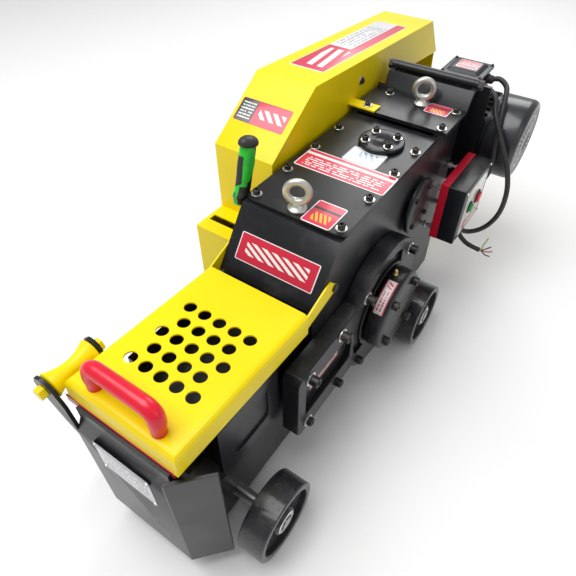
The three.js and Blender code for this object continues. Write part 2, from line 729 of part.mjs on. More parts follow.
function switchBase() {
  const s = SWITCH;
  const tray = box(s.x0, s.x0 + 18, s.y0, s.y1, s.z0, s.z1).subtract(box(s.x0 + 3, s.x0 + 30, s.y0 + 3,
      s.y1 - 3,
    s.z0 + 3, s.z1 - 3));
  return cut(tray, ...switchStudSpots().map(([y, z]) => cylX(y, z, 4.4, 100, 140, 14)));
}

function switchStudSpots() {
  return [[402, 340], [402, 232], [500, 340], [500, 232]];
}

function switchCover() {
  const s = SWITCH;
  const shell = box(s.x0 + 18 + GAP, s.x1, s.y0, s.y1, s.z0, s.z1)
    .subtract(box(s.x0, s.x1 - 3, s.y0 + 3, s.y1 - 3, s.z0 + 3, s.z1 - 3));
  return cut(shell, cylX(440, 290, 10.4, 170, 200), cylX(490, 290, 10.4, 170, 200));
}

function switchStud(y, z) {
  const x = BODY_HALF + GAP;
  return turnedX([[0, x], [4, x], [4, 104], [7.5, 104], [7.5, 110], [4, 110], [4, 121], [7.5, 121],
    [7.5, SWITCH.x0 - GAP], [4, SWITCH.x0 - GAP], [4, 131.3], [7.5, 131.3], [7.5, 137], [0, 137]], y, z, 6);
}

function button(y, mushroom) {
  const r = mushroom ? 13 : 10;
  return turnedX([[0, 172], [10, 172], [10, 190], [r, 190], [r, 194], [r - 2, 196], [0, 196]], y, 290, 16);
}

const MOTOR_LEAD = [
  [86.3, 640, 470], [110, 640, 470], [138, 618, 462], [152, 590, 444], [182, 568, 404], [222, 564, 331],
  [238, 560, 273], [236, 552, 215], [214, 540, 174], [184, 522, 162], [164, 506, 178],
  [160, 504, 194], [160, 504, 212.7],
];

const FAN_LEAD = [
  [86.3, 690, 470], [100, 690, 471], [118, 694, 474], [140, 680, 468], [154, 642, 456], [164, 604, 426],
  [176, 577, 370], [182, 572, 316], [174, 570, 284], [162, 567, 264], [158, 562, 262], [158, 550.3, 262],
];

const SUPPLY_LEAD = [
  [172, 470, 212.7], [172, 470, 200], [182, 470, 182], [200, 470, 169], [222, 470, 164], [236, 470, 163],
];

const CORE_TIPS = [[246, 470, 203], [258, 470, 183], [264, 470, 171], [262, 470, 155]];

// The sheath, with its four cores spread out at the bare end.
function supplyLead() {
  const cores = CORE_TIPS.map((tip) => {
    const middle = [238 + 0.5 * (tip[0] - 238), 470, 160 + 0.6 * (tip[2] - 163)];
    return tube([[233, 470, 163], [239, 470, 163], middle, tip], 1.6, 5, 5);
  });
  return join(tube(SUPPLY_LEAD, 5.5, 8, 8), ...cores);
}

// ---------------------------------------------------------------- assembly
const machine = new Group();
machine.name = 'rebar_cutter';
function add(name, body, material) {
  const mesh = new Mesh(toGeometry(body), material);
  mesh.geometry.translate(...ORIGIN);
  mesh.name = name;
  machine.add(mesh);
}

add('gearbox_body', gearboxBody(), BLACK);
add('top_cover_plate', topCoverPlate(), BLACK);
add('filler_cover', fillerCover(), BLACK);
add('rear_top_plate', rearTopPlate(), BLACK);
add('eyebolt_front', eyebolt(-3, 22, TOP_Z), ZINC);
add('eyebolt_rear', eyebolt(20, 472, REAR_Z), ZINC);
add('side_housing', sideHousing(), BLACK);
add('bearing_cap', bearingCap(), BLACK);
add('grease_nipple', greaseNipple(), BRASS);
add('shaft_cover', shaftCover(), BLACK);
add('crank_bush_left', bush(-BODY_HALF, -88, 25.8, 33.7), BRASS);
add('crank_bush_right', bush(101, 134, 25.8, 39.7), BRASS);
add('front_frame', frontFrame(), BLACK);
add('front_panel', frontPanel(), BLACK);
add('fixed_blade', fixedBlade(), STEEL);
add('side_plate', sidePlate(), BLACK);
add('belt_guard', beltGuard(), YELLOW);
add('front_axle', axle(AXLE_Y.front), STEEL);
add('rear_axle', axle(AXLE_Y.rear), STEEL);
add('hinge_rod', hingeRod(), IRON);
add('cover_bolt_left', coverBolt(-1), IRON);
add('cover_bolt_right', coverBolt(1), IRON);
add('roller_axle_bolt', rollerBolt(), YELLOW);
add('switch_box_base', switchBase(), RED);
add('switch_box_cover', switchCover(), BLACK);
switchStudSpots().forEach(([y, z], i) => add(`switch_stud_${i + 1}`, switchStud(y, z), ZINC));
add('drive_belt', driveBelt(), RUBBER);
add('safety_cover', safetyCover(), YELLOW);
add('cover_handle', coverHandle(), RED);
add('feed_roller', feedRoller(), YELLOW);
add('clutch_lever', clutchLever(), IRON);
add('lever_grip', leverGrip(), GREEN);
add('wheel_front_left', wheel(AXLE_Y.front, -1), IRON);
add('wheel_front_right', wheel(AXLE_Y.front, 1), IRON);
add('wheel_rear_left', wheel(AXLE_Y.rear, -1), IRON);
add('wheel_rear_right', wheel(AXLE_Y.rear, 1), IRON);
add('ram', ram(), STEEL);
add('moving_blade', movingBlade(), STEEL);
add('connecting_rod', connectingRod(), IRON);
add('wrist_pin', cylX(-92, CRANK[1], 12, -35, 35, 24), STEEL);
add('crankshaft', crankshaft(), STEEL);
add('crank_gear', crankGear(), IRON);
add('layshaft', layshaft(), STEEL);
add('input_shaft', inputShaft(), STEEL);
add('flywheel', flywheel(), IRON);
add('motor_body', motorBody(), BLACK);
add('fan_cowl', fanCowl(), BLACK);
add('terminal_box', terminalBox(), BLACK);
add('motor_plate', motorPlate(), BLACK);
add('motor_rotor', motorRotor(), STEEL);
add('motor_pulley', motorPulley(), IRON);
add('start_button', button(440, false), GREEN);
add('stop_button', button(490, true), RED);
add('motor_lead', tube(MOTOR_LEAD, 6, 8, 24), RUBBER);
add('fan_lead', tube(FAN_LEAD, 6, 8, 16), RUBBER);
add('supply_lead', supplyLead(), RUBBER);

export default machine;
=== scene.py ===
"""Rebar cutter: a gearbox on four wheels with a hinged cutting head, belt guard, motor and switch box."""
import json
import math

import bmesh
import bpy
import numpy as np
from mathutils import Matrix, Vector

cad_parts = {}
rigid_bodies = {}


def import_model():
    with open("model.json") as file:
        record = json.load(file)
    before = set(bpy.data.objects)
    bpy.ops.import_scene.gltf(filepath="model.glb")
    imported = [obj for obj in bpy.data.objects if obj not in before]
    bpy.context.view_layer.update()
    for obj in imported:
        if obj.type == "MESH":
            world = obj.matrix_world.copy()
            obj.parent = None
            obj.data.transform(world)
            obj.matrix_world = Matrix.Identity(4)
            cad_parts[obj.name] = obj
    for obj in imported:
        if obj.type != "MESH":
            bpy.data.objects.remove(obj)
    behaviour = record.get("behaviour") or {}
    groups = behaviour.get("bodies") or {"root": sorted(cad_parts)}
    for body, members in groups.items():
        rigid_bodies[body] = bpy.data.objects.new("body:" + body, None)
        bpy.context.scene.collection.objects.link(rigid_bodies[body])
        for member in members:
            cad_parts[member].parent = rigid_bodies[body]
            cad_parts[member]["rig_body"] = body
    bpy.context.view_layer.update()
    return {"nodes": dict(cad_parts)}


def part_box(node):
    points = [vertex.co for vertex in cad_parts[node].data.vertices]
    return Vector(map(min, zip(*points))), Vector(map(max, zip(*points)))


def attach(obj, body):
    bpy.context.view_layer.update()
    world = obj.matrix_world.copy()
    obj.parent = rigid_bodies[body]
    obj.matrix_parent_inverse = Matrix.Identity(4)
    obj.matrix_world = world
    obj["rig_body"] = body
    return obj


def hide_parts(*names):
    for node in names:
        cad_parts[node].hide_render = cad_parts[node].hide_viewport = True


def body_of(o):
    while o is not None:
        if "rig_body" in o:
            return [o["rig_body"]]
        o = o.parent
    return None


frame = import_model()

low, high = (np.array(c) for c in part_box("gearbox_body"))
ORIGIN = np.array([(low[0] + high[0]) / 2, low[1] + 0.082, 0.0]) * 1000
MM = 0.001

UP, RIGHT, FRONT = (0, 0, 1), (1, 0, 0), (0, -1, 0)
TOP = 461.0
REAR = 474.0
ARM_FACE = 135
CRANK = (142, 203)
INPUT_SHAFT = (317, 335)
MOTOR = (680.0, 352.0)
WHEEL_RADIUS = 75
FRONT_AXLE, REAR_AXLE = -298, 277
COVER_TOP = 373.6


# ---------------------------------------------------------------- shader expressions
class Value:
    """A socket that takes part in sums, so that 1 - mask * 0.4 adds the Math nodes for it."""

    def __init__(self, finish, socket):
        self.finish = finish
        self.socket = socket

    def _math(self, operation, a, b=None):
        inputs = {0: a} if b is None else {0: a, 1: b}
        return self.finish.node("ShaderNodeMath", {"operation": operation}, inputs)

    def __add__(self, other):
        return self._math("ADD", self, other)

    def __radd__(self, other):
        return self._math("ADD", other, self)

    def __sub__(self, other):
        return self._math("SUBTRACT", self, other)

    def __rsub__(self, other):
        return self._math("SUBTRACT", other, self)

    def __mul__(self, other):
        return self._math("MULTIPLY", self, other)

    def __rmul__(self, other):
        return self._math("MULTIPLY", other, self)

    def __truediv__(self, other):
        return self._math("DIVIDE", self, other)

    def __pow__(self, other):
        return self._math("POWER", self, other)

    def __gt__(self, other):
        return self._math("GREATER_THAN", self, other)

    def __lt__(self, other):
        return self._math("LESS_THAN", self, other)

    def wave(self):
        return self._math("SINE", self)

    def fraction(self):
        return self._math("FRACT", self)

    def whole(self):
        return self._math("FLOOR", self)

    def size(self):
        return self._math("ABSOLUTE", self)

    def largest(self, other):
        return self._math("MAXIMUM", self, other)


class Finish:
    """One material, built from expressions on its Object or UV coordinates."""

    def __init__(self, name, **constants):
        self.material = bpy.data.materials.new(name)
        self.material.use_nodes = True
        self.tree = self.material.node_tree
        self.shader = self.tree.nodes["Principled BSDF"]
        for key, value in constants.items():
            self.shader.inputs[key.replace("_", " ")].default_value = value

    def node(self, kind, settings=None, inputs=None, out=0):
        made = self.tree.nodes.new(kind)
        for key, value in (settings or {}).items():
            if key == "stops":
                for element, (place, colour) in zip(made.color_ramp.elements, value):
                    element.position = place
                    element.color = colour
            else:
                setattr(made, key, value)
        for key, value in (inputs or {}).items():
            if isinstance(value, Value):
                self.tree.links.new(value.socket, made.inputs[key])
            else:
                made.inputs[key].default_value = value
        return Value(self, made.outputs[out])

    def place(self, scale=(1, 1, 1), uv=False, shift=(0, 0, 0)):
        source = self.node("ShaderNodeTexCoord", out="UV" if uv else "Object")
        return self.node("ShaderNodeMapping", None, {"Vector": source, "Scale": scale, "Location": shift})

    def noise(self, where, scale, detail=3.0, rough=0.55, warp=0.0):
        inputs = {"Vector": where, "Scale": scale, "Detail": detail, "Roughness": rough, "Distortion": warp}
        return self.node("ShaderNodeTexNoise", None, inputs)

    def cells(self, where, scale, feature="F1"):
        return self.node("ShaderNodeTexVoronoi", {"feature": feature}, {"Vector": where, "Scale": scale})

    def step(self, value, low, high):
        """0 below low, 1 above high, smooth between."""
        return self.node("ShaderNodeMapRange", {"interpolation_type": "SMOOTHSTEP"},
                         {"Value": value, "From Min": low, "From Max": high})

    def mix(self, a, b, factor):
        made = self.tree.nodes.new("ShaderNodeMix")
        made.data_type = "RGBA"
        for index, value in ((0, factor), (6, a), (7, b)):
            if isinstance(value, Value):
                self.tree.links.new(value.socket, made.inputs[index])
            elif index:
                made.inputs[index].default_value = (*value, 1.0)
            else:
                made.inputs[index].default_value = value
        return Value(self, made.outputs[2])

    def axes(self, where):
        split = self.tree.nodes.new("ShaderNodeSeparateXYZ")
        self.tree.links.new(where.socket, split.inputs[0])
        return [Value(self, split.outputs[i]) for i in range(3)]

    def wear(self, **sockets):
        for key, value in sockets.items():
            target = self.shader.inputs[key.replace("_", " ")]
            if isinstance(value, Value):
                self.tree.links.new(value.socket, target)
            else:
                target.default_value = value

    def bump(self, height, depth, strength=1.0):
        made = self.node("ShaderNodeBump", None, {"Height": height, "Distance": depth, "Strength": strength})
        self.wear(Normal=made)


def enamel(name, colour, dust, roughness, casting=0.0, peel=0.00012, coat=0.12):
    """Sprayed enamel: orange peel, soft dust in patches, fine scuffs; casting adds a sand texture."""
    f = Finish(name, Coat_Roughness=0.15, IOR=1.45, Specular_IOR_Level=0.4)
    where = f.place()
    patch = f.noise(where, 9.0, 5.0, 0.6)
    fine = f.noise(where, 420.0, 2.0, 0.5)
    scuff = f.noise(f.place((1.0, 0.12, 0.4)), 260.0, 4.0, 0.7)
    grime = f.step(patch, 0.5, 0.72) * 0.55 + f.step(scuff, 0.66, 0.74) * 0.35
    f.wear(Base_Color=f.mix(colour, dust, grime), Coat_Weight=coat - grime * coat * 0.6,
           Roughness=roughness + grime * 0.25 + fine * 0.05)
    height = fine * 0.35 + patch * 0.3
    if casting:
        height = height + f.noise(where, 160.0, 5.0, 0.65) * casting
    f.bump(height, peel * (1 + casting), 0.6)
    return f.material


def powder_coat(name, colour, shade, roughness=0.32):
    """Powder-coated sheet: even colour with a slow drift, orange peel and faint handling marks."""
    f = Finish(name, Coat_Roughness=0.12, IOR=1.45, Specular_IOR_Level=0.3)
    where = f.place()
    drift = f.noise(where, 5.0, 3.0, 0.5)
    peel = f.noise(where, 330.0, 2.0, 0.45)
    marks = f.step(f.noise(f.place((1, 0.2, 1)), 90.0, 6.0, 0.75), 0.68, 0.8)
    f.wear(Base_Color=f.mix(colour, shade, f.step(drift, 0.4, 0.75) * 0.45 + marks * 0.35),
           Roughness=roughness + marks * 0.2 + peel * 0.04, Coat_Weight=0.14 - marks * 0.1)
    f.bump(peel + drift * 0.4, 0.00016, 0.5)
    return f.material


def moulded(name, colour, shade, roughness=0.25, grain=0.0002):
    """Moulded plastic: fine grain in the gloss and a slight drift in the colour."""
    f = Finish(name, Coat_Weight=0.15, Coat_Roughness=0.1, Specular_IOR_Level=0.4)
    where = f.place()
    drift = f.noise(where, 22.0, 3.0, 0.5)
    fine = f.noise(where, 900.0, 3.0, 0.6)
    f.wear(Base_Color=f.mix(colour, shade, f.step(drift, 0.35, 0.7) * 0.6), Roughness=roughness + fine * 0.12)
    f.bump(fine, grain * 0.4, 0.5)
    return f.material


def metal(name, colour, shade, roughness=0.3, lay=(1, 1, 1), grain=500.0, stain=0.3, depth=0.00006):
    """Worked metal: tool marks stretched along the lay, cloudy tarnish, small pits."""
    f = Finish(name, Metallic=1.0)
    marks = f.noise(f.place(lay), grain, 4.0, 0.7)
    cloud = f.noise(f.place(), 40.0, 5.0, 0.6)
    tarnish = f.step(cloud, 0.42, 0.72) * stain
    f.wear(Base_Color=f.mix(colour, shade, tarnish + marks * 0.15),
           Roughness=roughness + tarnish * 0.4 + marks * 0.12)
    f.bump(marks + cloud * 0.5, depth, 0.6)
    return f.material


def rubber(name, colour, dust, roughness=0.62):
    """Rubber: matt with a dusty bloom, small scratches and a fine pebble."""
    f = Finish(name)
    where = f.place()
    bloom = f.noise(where, 14.0, 5.0, 0.65)
    pebble = f.cells(where, 650.0)
    f.wear(Base_Color=f.mix(colour, dust, f.step(bloom, 0.48, 0.75) * 0.5),
           Roughness=roughness + bloom * 0.15)
    f.bump(pebble * 0.6 + bloom, 0.0002, 0.5)
    return f.material


def tyre(name):
    """Cast tyre: lumps and drips of thick enamel over a rough casting."""
    f = Finish(name, Coat_Weight=0.5, Coat_Roughness=0.12)
    where = f.place()
    lumps = f.noise(where, 45.0, 6.0, 0.68, 0.6)
    blobs = f.step(f.cells(where, 95.0), 0.34, 0.12)
    speck = f.step(f.noise(where, 300.0, 2.0, 0.5), 0.7, 0.78)
    f.wear(Base_Color=f.mix((0.010, 0.011, 0.014), (0.10, 0.095, 0.085),
                            f.step(lumps, 0.55, 0.8) * 0.6 + speck * 0.5),
           Roughness=0.28 + lumps * 0.25)
    f.bump(lumps + blobs * 0.5, 0.0016, 0.7)
    return f.material


def label(name, ground, ink, border, rows=0, emblem=None, band=None, roughness=0.3):
    """Printed vinyl on the piece's own UV map: a border, an ink band, rows of dashes, slanted bars."""
    f = Finish(name, Coat_Weight=0.3, Coat_Roughness=0.1)
    u, v, _ = f.axes(f.place(uv=True))
    colour = f.mix(ground, ink, 0.0)
    if band:
        inside = (v > band[0]) * (v < band[1])
        colour = f.mix(colour, band[2], inside)
    if rows:
        low, high, left, right = rows[1:5]
        line = ((v - low) / (high - low) * rows[0])
        dash = f.noise(f.node("ShaderNodeCombineXYZ", None, {0: u * 26.0, 1: line.whole() * 7.3}), 1.0, 0.0)
        mask = ((line.fraction() - 0.5).size() < 0.22) * (dash > 0.42)
        mask = mask * (v > low) * (v < high) * (u > left) * (u < right)
        colour = f.mix(colour, ink, mask)
    if emblem:
        left, right, low, high, count, tint = emblem
        slant = ((u - left) / (right - left) + (v - low) / (high - low) * 0.35) * count
        mask = (slant.fraction() > 0.45) * (u > left) * (u < right) * (v > low) * (v < high)
        colour = f.mix(colour, tint, mask)
    if border:
        edge = ((u - 0.5).size() > 0.5 - border[0]).largest((v - 0.5).size() > 0.5 - border[1])
        colour = f.mix(colour, border[2], edge)
    wear = f.step(f.noise(f.place(), 160.0, 5.0, 0.7), 0.66, 0.76)
    f.wear(Base_Color=f.mix(colour, (0.55, 0.52, 0.5), wear * 0.25), Roughness=roughness + wear * 0.3)
    f.bump(f.noise(f.place(), 500.0, 2.0), 0.00004, 0.4)
    return f.material


CRIMSON = (0.62, 0.012, 0.045)
WHITE = (0.85, 0.85, 0.83)
BLACK_ENAMEL = enamel("black_enamel", (0.008, 0.009, 0.012), (0.06, 0.056, 0.05), 0.3)
BLACK_CASTING = enamel("black_casting", (0.008, 0.009, 0.011), (0.07, 0.066, 0.056), 0.33, casting=1.4,
                       peel=0.00022)
MOTOR_ENAMEL = enamel("motor_enamel", (0.016, 0.018, 0.023), (0.08, 0.08, 0.08), 0.34, casting=0.6)
YELLOW_COAT = powder_coat("yellow_coat", (0.96, 0.75, 0.0), (0.84, 0.60, 0.0), 0.38)
RED_ENAMEL = powder_coat("red_enamel", (0.60, 0.01, 0.035), (0.42, 0.008, 0.03), 0.3)
RED_PLASTIC = moulded("red_plastic", (0.78, 0.008, 0.035), (0.66, 0.006, 0.025), 0.24)
GREEN_PLASTIC = moulded("green_plastic", (0.02, 0.42, 0.06), (0.01, 0.3, 0.05))
BLACK_PLASTIC = moulded("black_plastic", (0.022, 0.022, 0.024), (0.06, 0.06, 0.06), 0.5, 0.0005)
BRIGHT_ZINC = metal("bright_zinc", (0.84, 0.84, 0.80), (0.55, 0.52, 0.42), 0.22, stain=0.35)
EYE_ZINC = metal("eye_zinc", (0.70, 0.70, 0.67), (0.46, 0.44, 0.38), 0.36, stain=0.4)
BRASS = metal("brass", (0.78, 0.58, 0.25), (0.4, 0.28, 0.12), 0.28)
TOOL_STEEL = metal("tool_steel", (0.62, 0.63, 0.66), (0.3, 0.29, 0.28), 0.25, lay=(1, 1, 0.04))
MACHINED_STEEL = metal("machined_steel", (0.60, 0.61, 0.62), (0.28, 0.26, 0.24), 0.28, lay=(1, 0.06, 0.06))
BLACK_OXIDE = metal("black_oxide", (0.05, 0.05, 0.055), (0.16, 0.14, 0.12), 0.38, stain=0.5, depth=0.0001)
CAST_IRON = metal("cast_iron", (0.07, 0.07, 0.075), (0.16, 0.12, 0.09), 0.5, stain=0.6, grain=160.0,
                  depth=0.0004)
DRIVE_RUBBER = rubber("drive_rubber", (0.015, 0.015, 0.016), (0.06, 0.06, 0.06))
CABLE_SHEATH = rubber("cable_sheath", (0.017, 0.017, 0.019), (0.07, 0.07, 0.07), 0.42)
TYRE_ENAMEL = tyre("tyre_enamel")


# ---------------------------------------------------------------- surfaces
def placed(name, mesh, finish, smooth):
    """The mesh as an object at the origin, smooth except where faces meet at more than that angle."""
    mesh.polygons.foreach_set("use_smooth", np.ones(len(mesh.polygons), bool))
    mesh.set_sharp_from_angle(angle=math.radians(smooth))
    mesh.materials.append(finish)
    piece = bpy.data.objects.new(name, mesh)
    bpy.context.collection.objects.link(piece)
    return piece


def mesh_piece(name, patches, finish, body="machine", smooth=38, uv=None):
    """A piece from grids of points in millimetres.

    Each patch is (grid, ends): grid rows are rings or lines of points, and ends=True closes the first and
    last row with a flat face. Neighbouring points in a row and in a column share a four-sided face. Touching
    points are merged and the faces turned outwards.
    """
    verts, faces, maps, base = [], [], [], 0
    for grid, ends in patches:
        grid = np.asarray(grid, float)
        rows, cols = grid.shape[:2]
        index = base + np.arange(rows * cols).reshape(rows, cols)
        quads = np.stack([index[:-1, :-1], index[:-1, 1:], index[1:, 1:], index[1:, :-1]], -1).reshape(-1, 4)
        faces += quads.tolist()
        if ends:
            faces += [index[0, :-1].tolist(), index[-1, :-1].tolist()]
        verts.append((grid.reshape(-1, 3) + ORIGIN) * MM)
        base += rows * cols
    verts = np.concatenate(verts)
    mesh = bpy.data.meshes.new(name)
    mesh.from_pydata(verts.tolist(), [], faces)
    work = bmesh.new()
    work.from_mesh(mesh)
    bmesh.ops.remove_doubles(work, verts=work.verts, dist=2e-6)
    bmesh.ops.recalc_face_normals(work, faces=work.faces)
    if uv:
        layer = work.loops.layers.uv.new("UVMap")
        corner, along, up = (np.array(p, float) for p in uv)
        corner = (corner + ORIGIN) * MM
        for face in work.faces:
            for loop in face.loops:
                d = np.array(loop.vert.co) - corner
                loop[layer].uv = (float(d @ along) / float(along @ along) / MM,
                                  float(d @ up) / float(up @ up) / MM)
    work.to_mesh(mesh)
    work.free()
    piece = placed(name, mesh, finish, smooth)
    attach(piece, body)
    return piece


def frame_of(axis):
    """Two directions square to the axis and to each other."""
    w = np.array(axis, float) / np.linalg.norm(axis)
    helper = np.array([0.0, 0.0, 1.0]) if abs(w[2]) < 0.9 else np.array([0.0, 1.0, 0.0])
    u = np.cross(helper, w)
    u /= np.linalg.norm(u)
    return u, np.cross(w, u), w


def turned(profile, centre, axis, n=48, phase=0.0):
    """Ring r(j), height w(j) turned about the axis: centre + w*axis + r*(cos t*u + sin t*v)."""
    u, v, w = frame_of(axis)
    r, h = np.array(profile, float).T
    t = np.linspace(0, 2 * math.pi, n + 1) + phase
    ring = np.cos(t)[:, None] * u + np.sin(t)[:, None] * v
    return np.array(centre, float) + h[:, None, None] * w + r[:, None, None] * ring, False


def inset(outline, d):
    """The closed outline moved inwards by d: each corner slides along the sum of its two edges' normals."""
    p = np.asarray(outline, float)
    a = p - np.roll(p, 1, 0)
    b = np.roll(p, -1, 0) - p
    a /= np.linalg.norm(a, axis=1, keepdims=True)
    b /= np.linalg.norm(b, axis=1, keepdims=True)
    na = np.stack([-a[:, 1], a[:, 0]], 1)
    nb = np.stack([-b[:, 1], b[:, 0]], 1)
    turn = 1 + np.sum(na * nb, 1, keepdims=True)
    return p + d * (na + nb) / np.maximum(turn, 0.35)


def slab(outline, low, high, edge, to_space, foot=0.0):
    """A plate: the outline (counter-clockwise) lifted from low to high, its upper rim a quarter round of size
    edge and its lower rim one of size foot, with flat ends."""
    rings = []
    for size, level, side in ((foot, low, 1), (edge, high, -1)):
        steps = np.linspace(0, math.pi / 2, 5) if size else np.array([math.pi / 2])
        part = [(size * (1 - math.sin(t)), level + side * size * (1 - math.cos(t))) for t in steps]
        rings += part if side > 0 else part[::-1]
    grid = []
    for d, level in rings:
        ring = inset(outline, d)
        ring = np.vstack([ring, ring[:1]])
        grid.append(to_space(ring[:, 0], ring[:, 1], np.full(len(ring), level)))
    return np.array(grid), True


def along_x(u, v, w):
    return np.stack([w, u, v], 1)


def along_y(u, v, w):
    return np.stack([u, w, v], 1)


def along_z(u, v, w):
    return np.stack([u, v, w], 1)


def rounded(u0, u1, v0, v1, r, n=6):
    """A rectangle with corners of radius r, counter-clockwise."""
    t = np.linspace(0, math.pi / 2, n + 1)
    parts = []
    for cu, cv, start in ((u1 - r, v0 + r, -math.pi / 2), (u1 - r, v1 - r, 0.0),
                          (u0 + r, v1 - r, math.pi / 2), (u0 + r, v0 + r, math.pi)):
        parts.append(np.stack([cu + r * np.cos(t + start), cv + r * np.sin(t + start)], 1))
    return np.concatenate(parts)


def swept(section, path, up=(0.0, 0.0, 1.0)):
    """A closed section carried along a path: each ring stands square to the path's own direction."""
    path = np.asarray(path, float)
    tangent = np.gradient(path, axis=0)
    tangent /= np.linalg.norm(tangent, axis=1, keepdims=True)
    side = np.cross(tangent, np.array(up, float))
    side /= np.linalg.norm(side, axis=1, keepdims=True)
    top = np.cross(side, tangent)
    section = np.asarray(section, float)
    if section.ndim == 2:
        section = np.repeat(section[None], len(path), 0)
    return path[:, None] + section[:, :, :1] * side[:, None] + section[:, :, 1:] * top[:, None], True


def oval(a, b, n=32, power=1.0):
    """A closed oval of half sizes a and b."""
    t = np.linspace(0, 2 * math.pi, n + 1)
    c, s = np.cos(t), np.sin(t)
    return np.stack([a * np.sign(c) * np.abs(c) ** power, b * np.sign(s) * np.abs(s) ** power], 1)


def between(s, start, stop, a, b):
    """The value at s of the straight line that is a at start and b at stop."""
    return (stop - s) / (stop - start) * a + (s - start) / (stop - start) * b


def smooth_path(points, steps=10):
    """Centripetal Catmull-Rom curve through the points, as blends of blends of straight lines."""
    p = np.array(points, float)
    p = np.vstack([2 * p[0] - p[1], p, 2 * p[-1] - p[-2]])
    gap = np.linalg.norm(np.diff(p, axis=0), axis=1) ** 0.5
    t = np.concatenate([[0.0], np.cumsum(gap)])
    out = []
    for i in range(1, len(p) - 2):
        s = np.linspace(t[i], t[i + 1], steps, endpoint=False)[:, None]
        a1, a2, a3 = (between(s, t[k], t[k + 1], p[k], p[k + 1]) for k in (i - 1, i, i + 1))
        b1 = between(s, t[i - 1], t[i + 1], a1, a2)
        b2 = between(s, t[i], t[i + 2], a2, a3)
        out.append(between(s, t[i], t[i + 1], b1, b2))
    return np.vstack(out + [p[-2:-1]])


# ---------------------------------------------------------------- camera
def camera():
    """A camera 45.5 degrees above the cutting end, 34.5 degrees round to the right."""
    pitch, turn = math.radians(45.5), math.radians(34.5)
    back = Vector((math.sin(turn) * math.cos(pitch), -math.cos(turn) * math.cos(pitch), math.sin(pitch)))
    lens = bpy.data.cameras.new("camera")
    lens.sensor_width = 36.0
    lens.lens = 32.06
    lens.clip_end = 50
    seen = bpy.data.objects.new("camera", lens)
    seen.location = (0.3986, -0.7908, 0.9887)
    seen.rotation_euler = (-back).to_track_quat("-Z", "Y").to_euler()
    bpy.context.collection.objects.link(seen)
    bpy.context.scene.camera = seen


camera()


# ---------------------------------------------------------------- leads
def lead(name, points, radius, node, far_end, finish=CABLE_SHEATH, body="machine"):
    """A round lead as a curve through the smoothed route."""
    line = (smooth_path(points) + ORIGIN) * MM
    curve = bpy.data.curves.new(name, "CURVE")
    curve.dimensions = "3D"
    curve.bevel_depth = radius * MM
    curve.bevel_resolution = 5
    curve.use_fill_caps = True
    spline = curve.splines.new("POLY")
    spline.points.add(len(line) - 1)
    spline.points.foreach_set("co", np.hstack([line, np.ones((len(line), 1))]).ravel())
    curve.materials.append(finish)
    piece = bpy.data.objects.new(name, curve)
    bpy.context.collection.objects.link(piece)
    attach(piece, body)
    if node:
        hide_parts(node)
    if far_end:
        2 * radius * MM
    return piece


MOTOR_LEAD = [
    (86.3, 640, 470), (110, 640, 470), (138, 618, 462), (152, 590, 444), (182, 568, 404), (222, 564, 331),
    (238, 560, 273), (236, 552, 215), (214, 540, 174), (184, 522, 162), (164, 506, 178), (160, 504, 194),
    (160, 504, 212.7),
]
FAN_LEAD = [
    (86.3, 690, 470), (100, 690, 471), (118, 694, 474), (140, 680, 468), (154, 642, 456), (164, 604, 426),
    (176, 577, 370), (182, 572, 316), (174, 570, 284), (162, 567, 264), (158, 562, 262), (158, 550.3, 262),
]
SUPPLY_LEAD = [
    (172, 470, 212.7), (172, 470, 200), (182, 470, 182), (200, 470, 169), (222, 470, 164), (236, 470, 163),
]
CORES = {
    "core_earth": ((246, 470, 203), (0.45, 0.50, 0.05)),
    "core_blue": ((258, 470, 183), (0.03, 0.03, 0.03)),
    "core_red": ((264, 470, 171), (0.55, 0.02, 0.02)),
    "core_black": ((262, 470, 155), (0.02, 0.02, 0.02)),
}
lead("motor_lead_cable", MOTOR_LEAD, 6, "motor_lead", "object")
lead("fan_lead_cable", FAN_LEAD, 6, "fan_lead", "object")
for core, (tip, tint) in CORES.items():
    finish = moulded(core + "_sheath", tint, tuple(c * 0.7 for c in tint), 0.4)
    start = np.array([234.0, 470.0, 163.0])
    end = np.array(tip, float)
    middle = start * 0.4 + end * 0.6 + np.array([0, 0, -3.0])
    lead(core, [start, start + (4, 0, 0), middle, end], 1.4, None, None, finish)
    copper = end - middle
    copper = end + copper / np.linalg.norm(copper) * 3
    lead(core + "_strands", [end * 0.9 + middle * 0.1, end, copper], 0.8, None, None,
                      BRASS)
lead("supply_lead_cable", SUPPLY_LEAD, 5.5, "supply_lead", "bare")


# ---------------------------------------------------------------- fasteners
def socket_screw(point, axis, head=8.0, tall=9.0, washer=0.0):
    """Profiles turned about the screw's axis: a head with a sunk socket, over a flat washer."""
    low = 2.0 if washer else 0.0
    top = low + tall
    profile = [(0, low), (head - 0.4, low), (head, low + 0.5), (head, top - 1.2), (head - 1.2, top),
               (head * 0.52, top), (head * 0.46, top - 0.5), (head * 0.46, top - 5), (0, top - 5.5)]
    return turned(profile, point, axis, 24)


def washer_ring(point, axis, r, hole=4.0, thick=2.0):
    """A flat ring with broken edges."""
    profile = [(hole, 0), (r - 0.4, 0), (r, 0.4), (r, thick - 0.5), (r - 0.5, thick), (hole, thick),
               (hole, 0)]
    return turned(profile, point, axis, 32)


def screws(name, spots, axis, head=8.0, tall=9.0, washer=0.0, body="machine", finish=None):
    """A set of socket screws, with their washers as a second piece."""
    mesh_piece(name, [socket_screw(p, axis, head, tall, washer) for p in spots], finish or BLACK_OXIDE, body)
    if washer:
        mesh_piece(name + "_washers", [washer_ring(p, axis, washer) for p in spots], BRIGHT_ZINC, body)


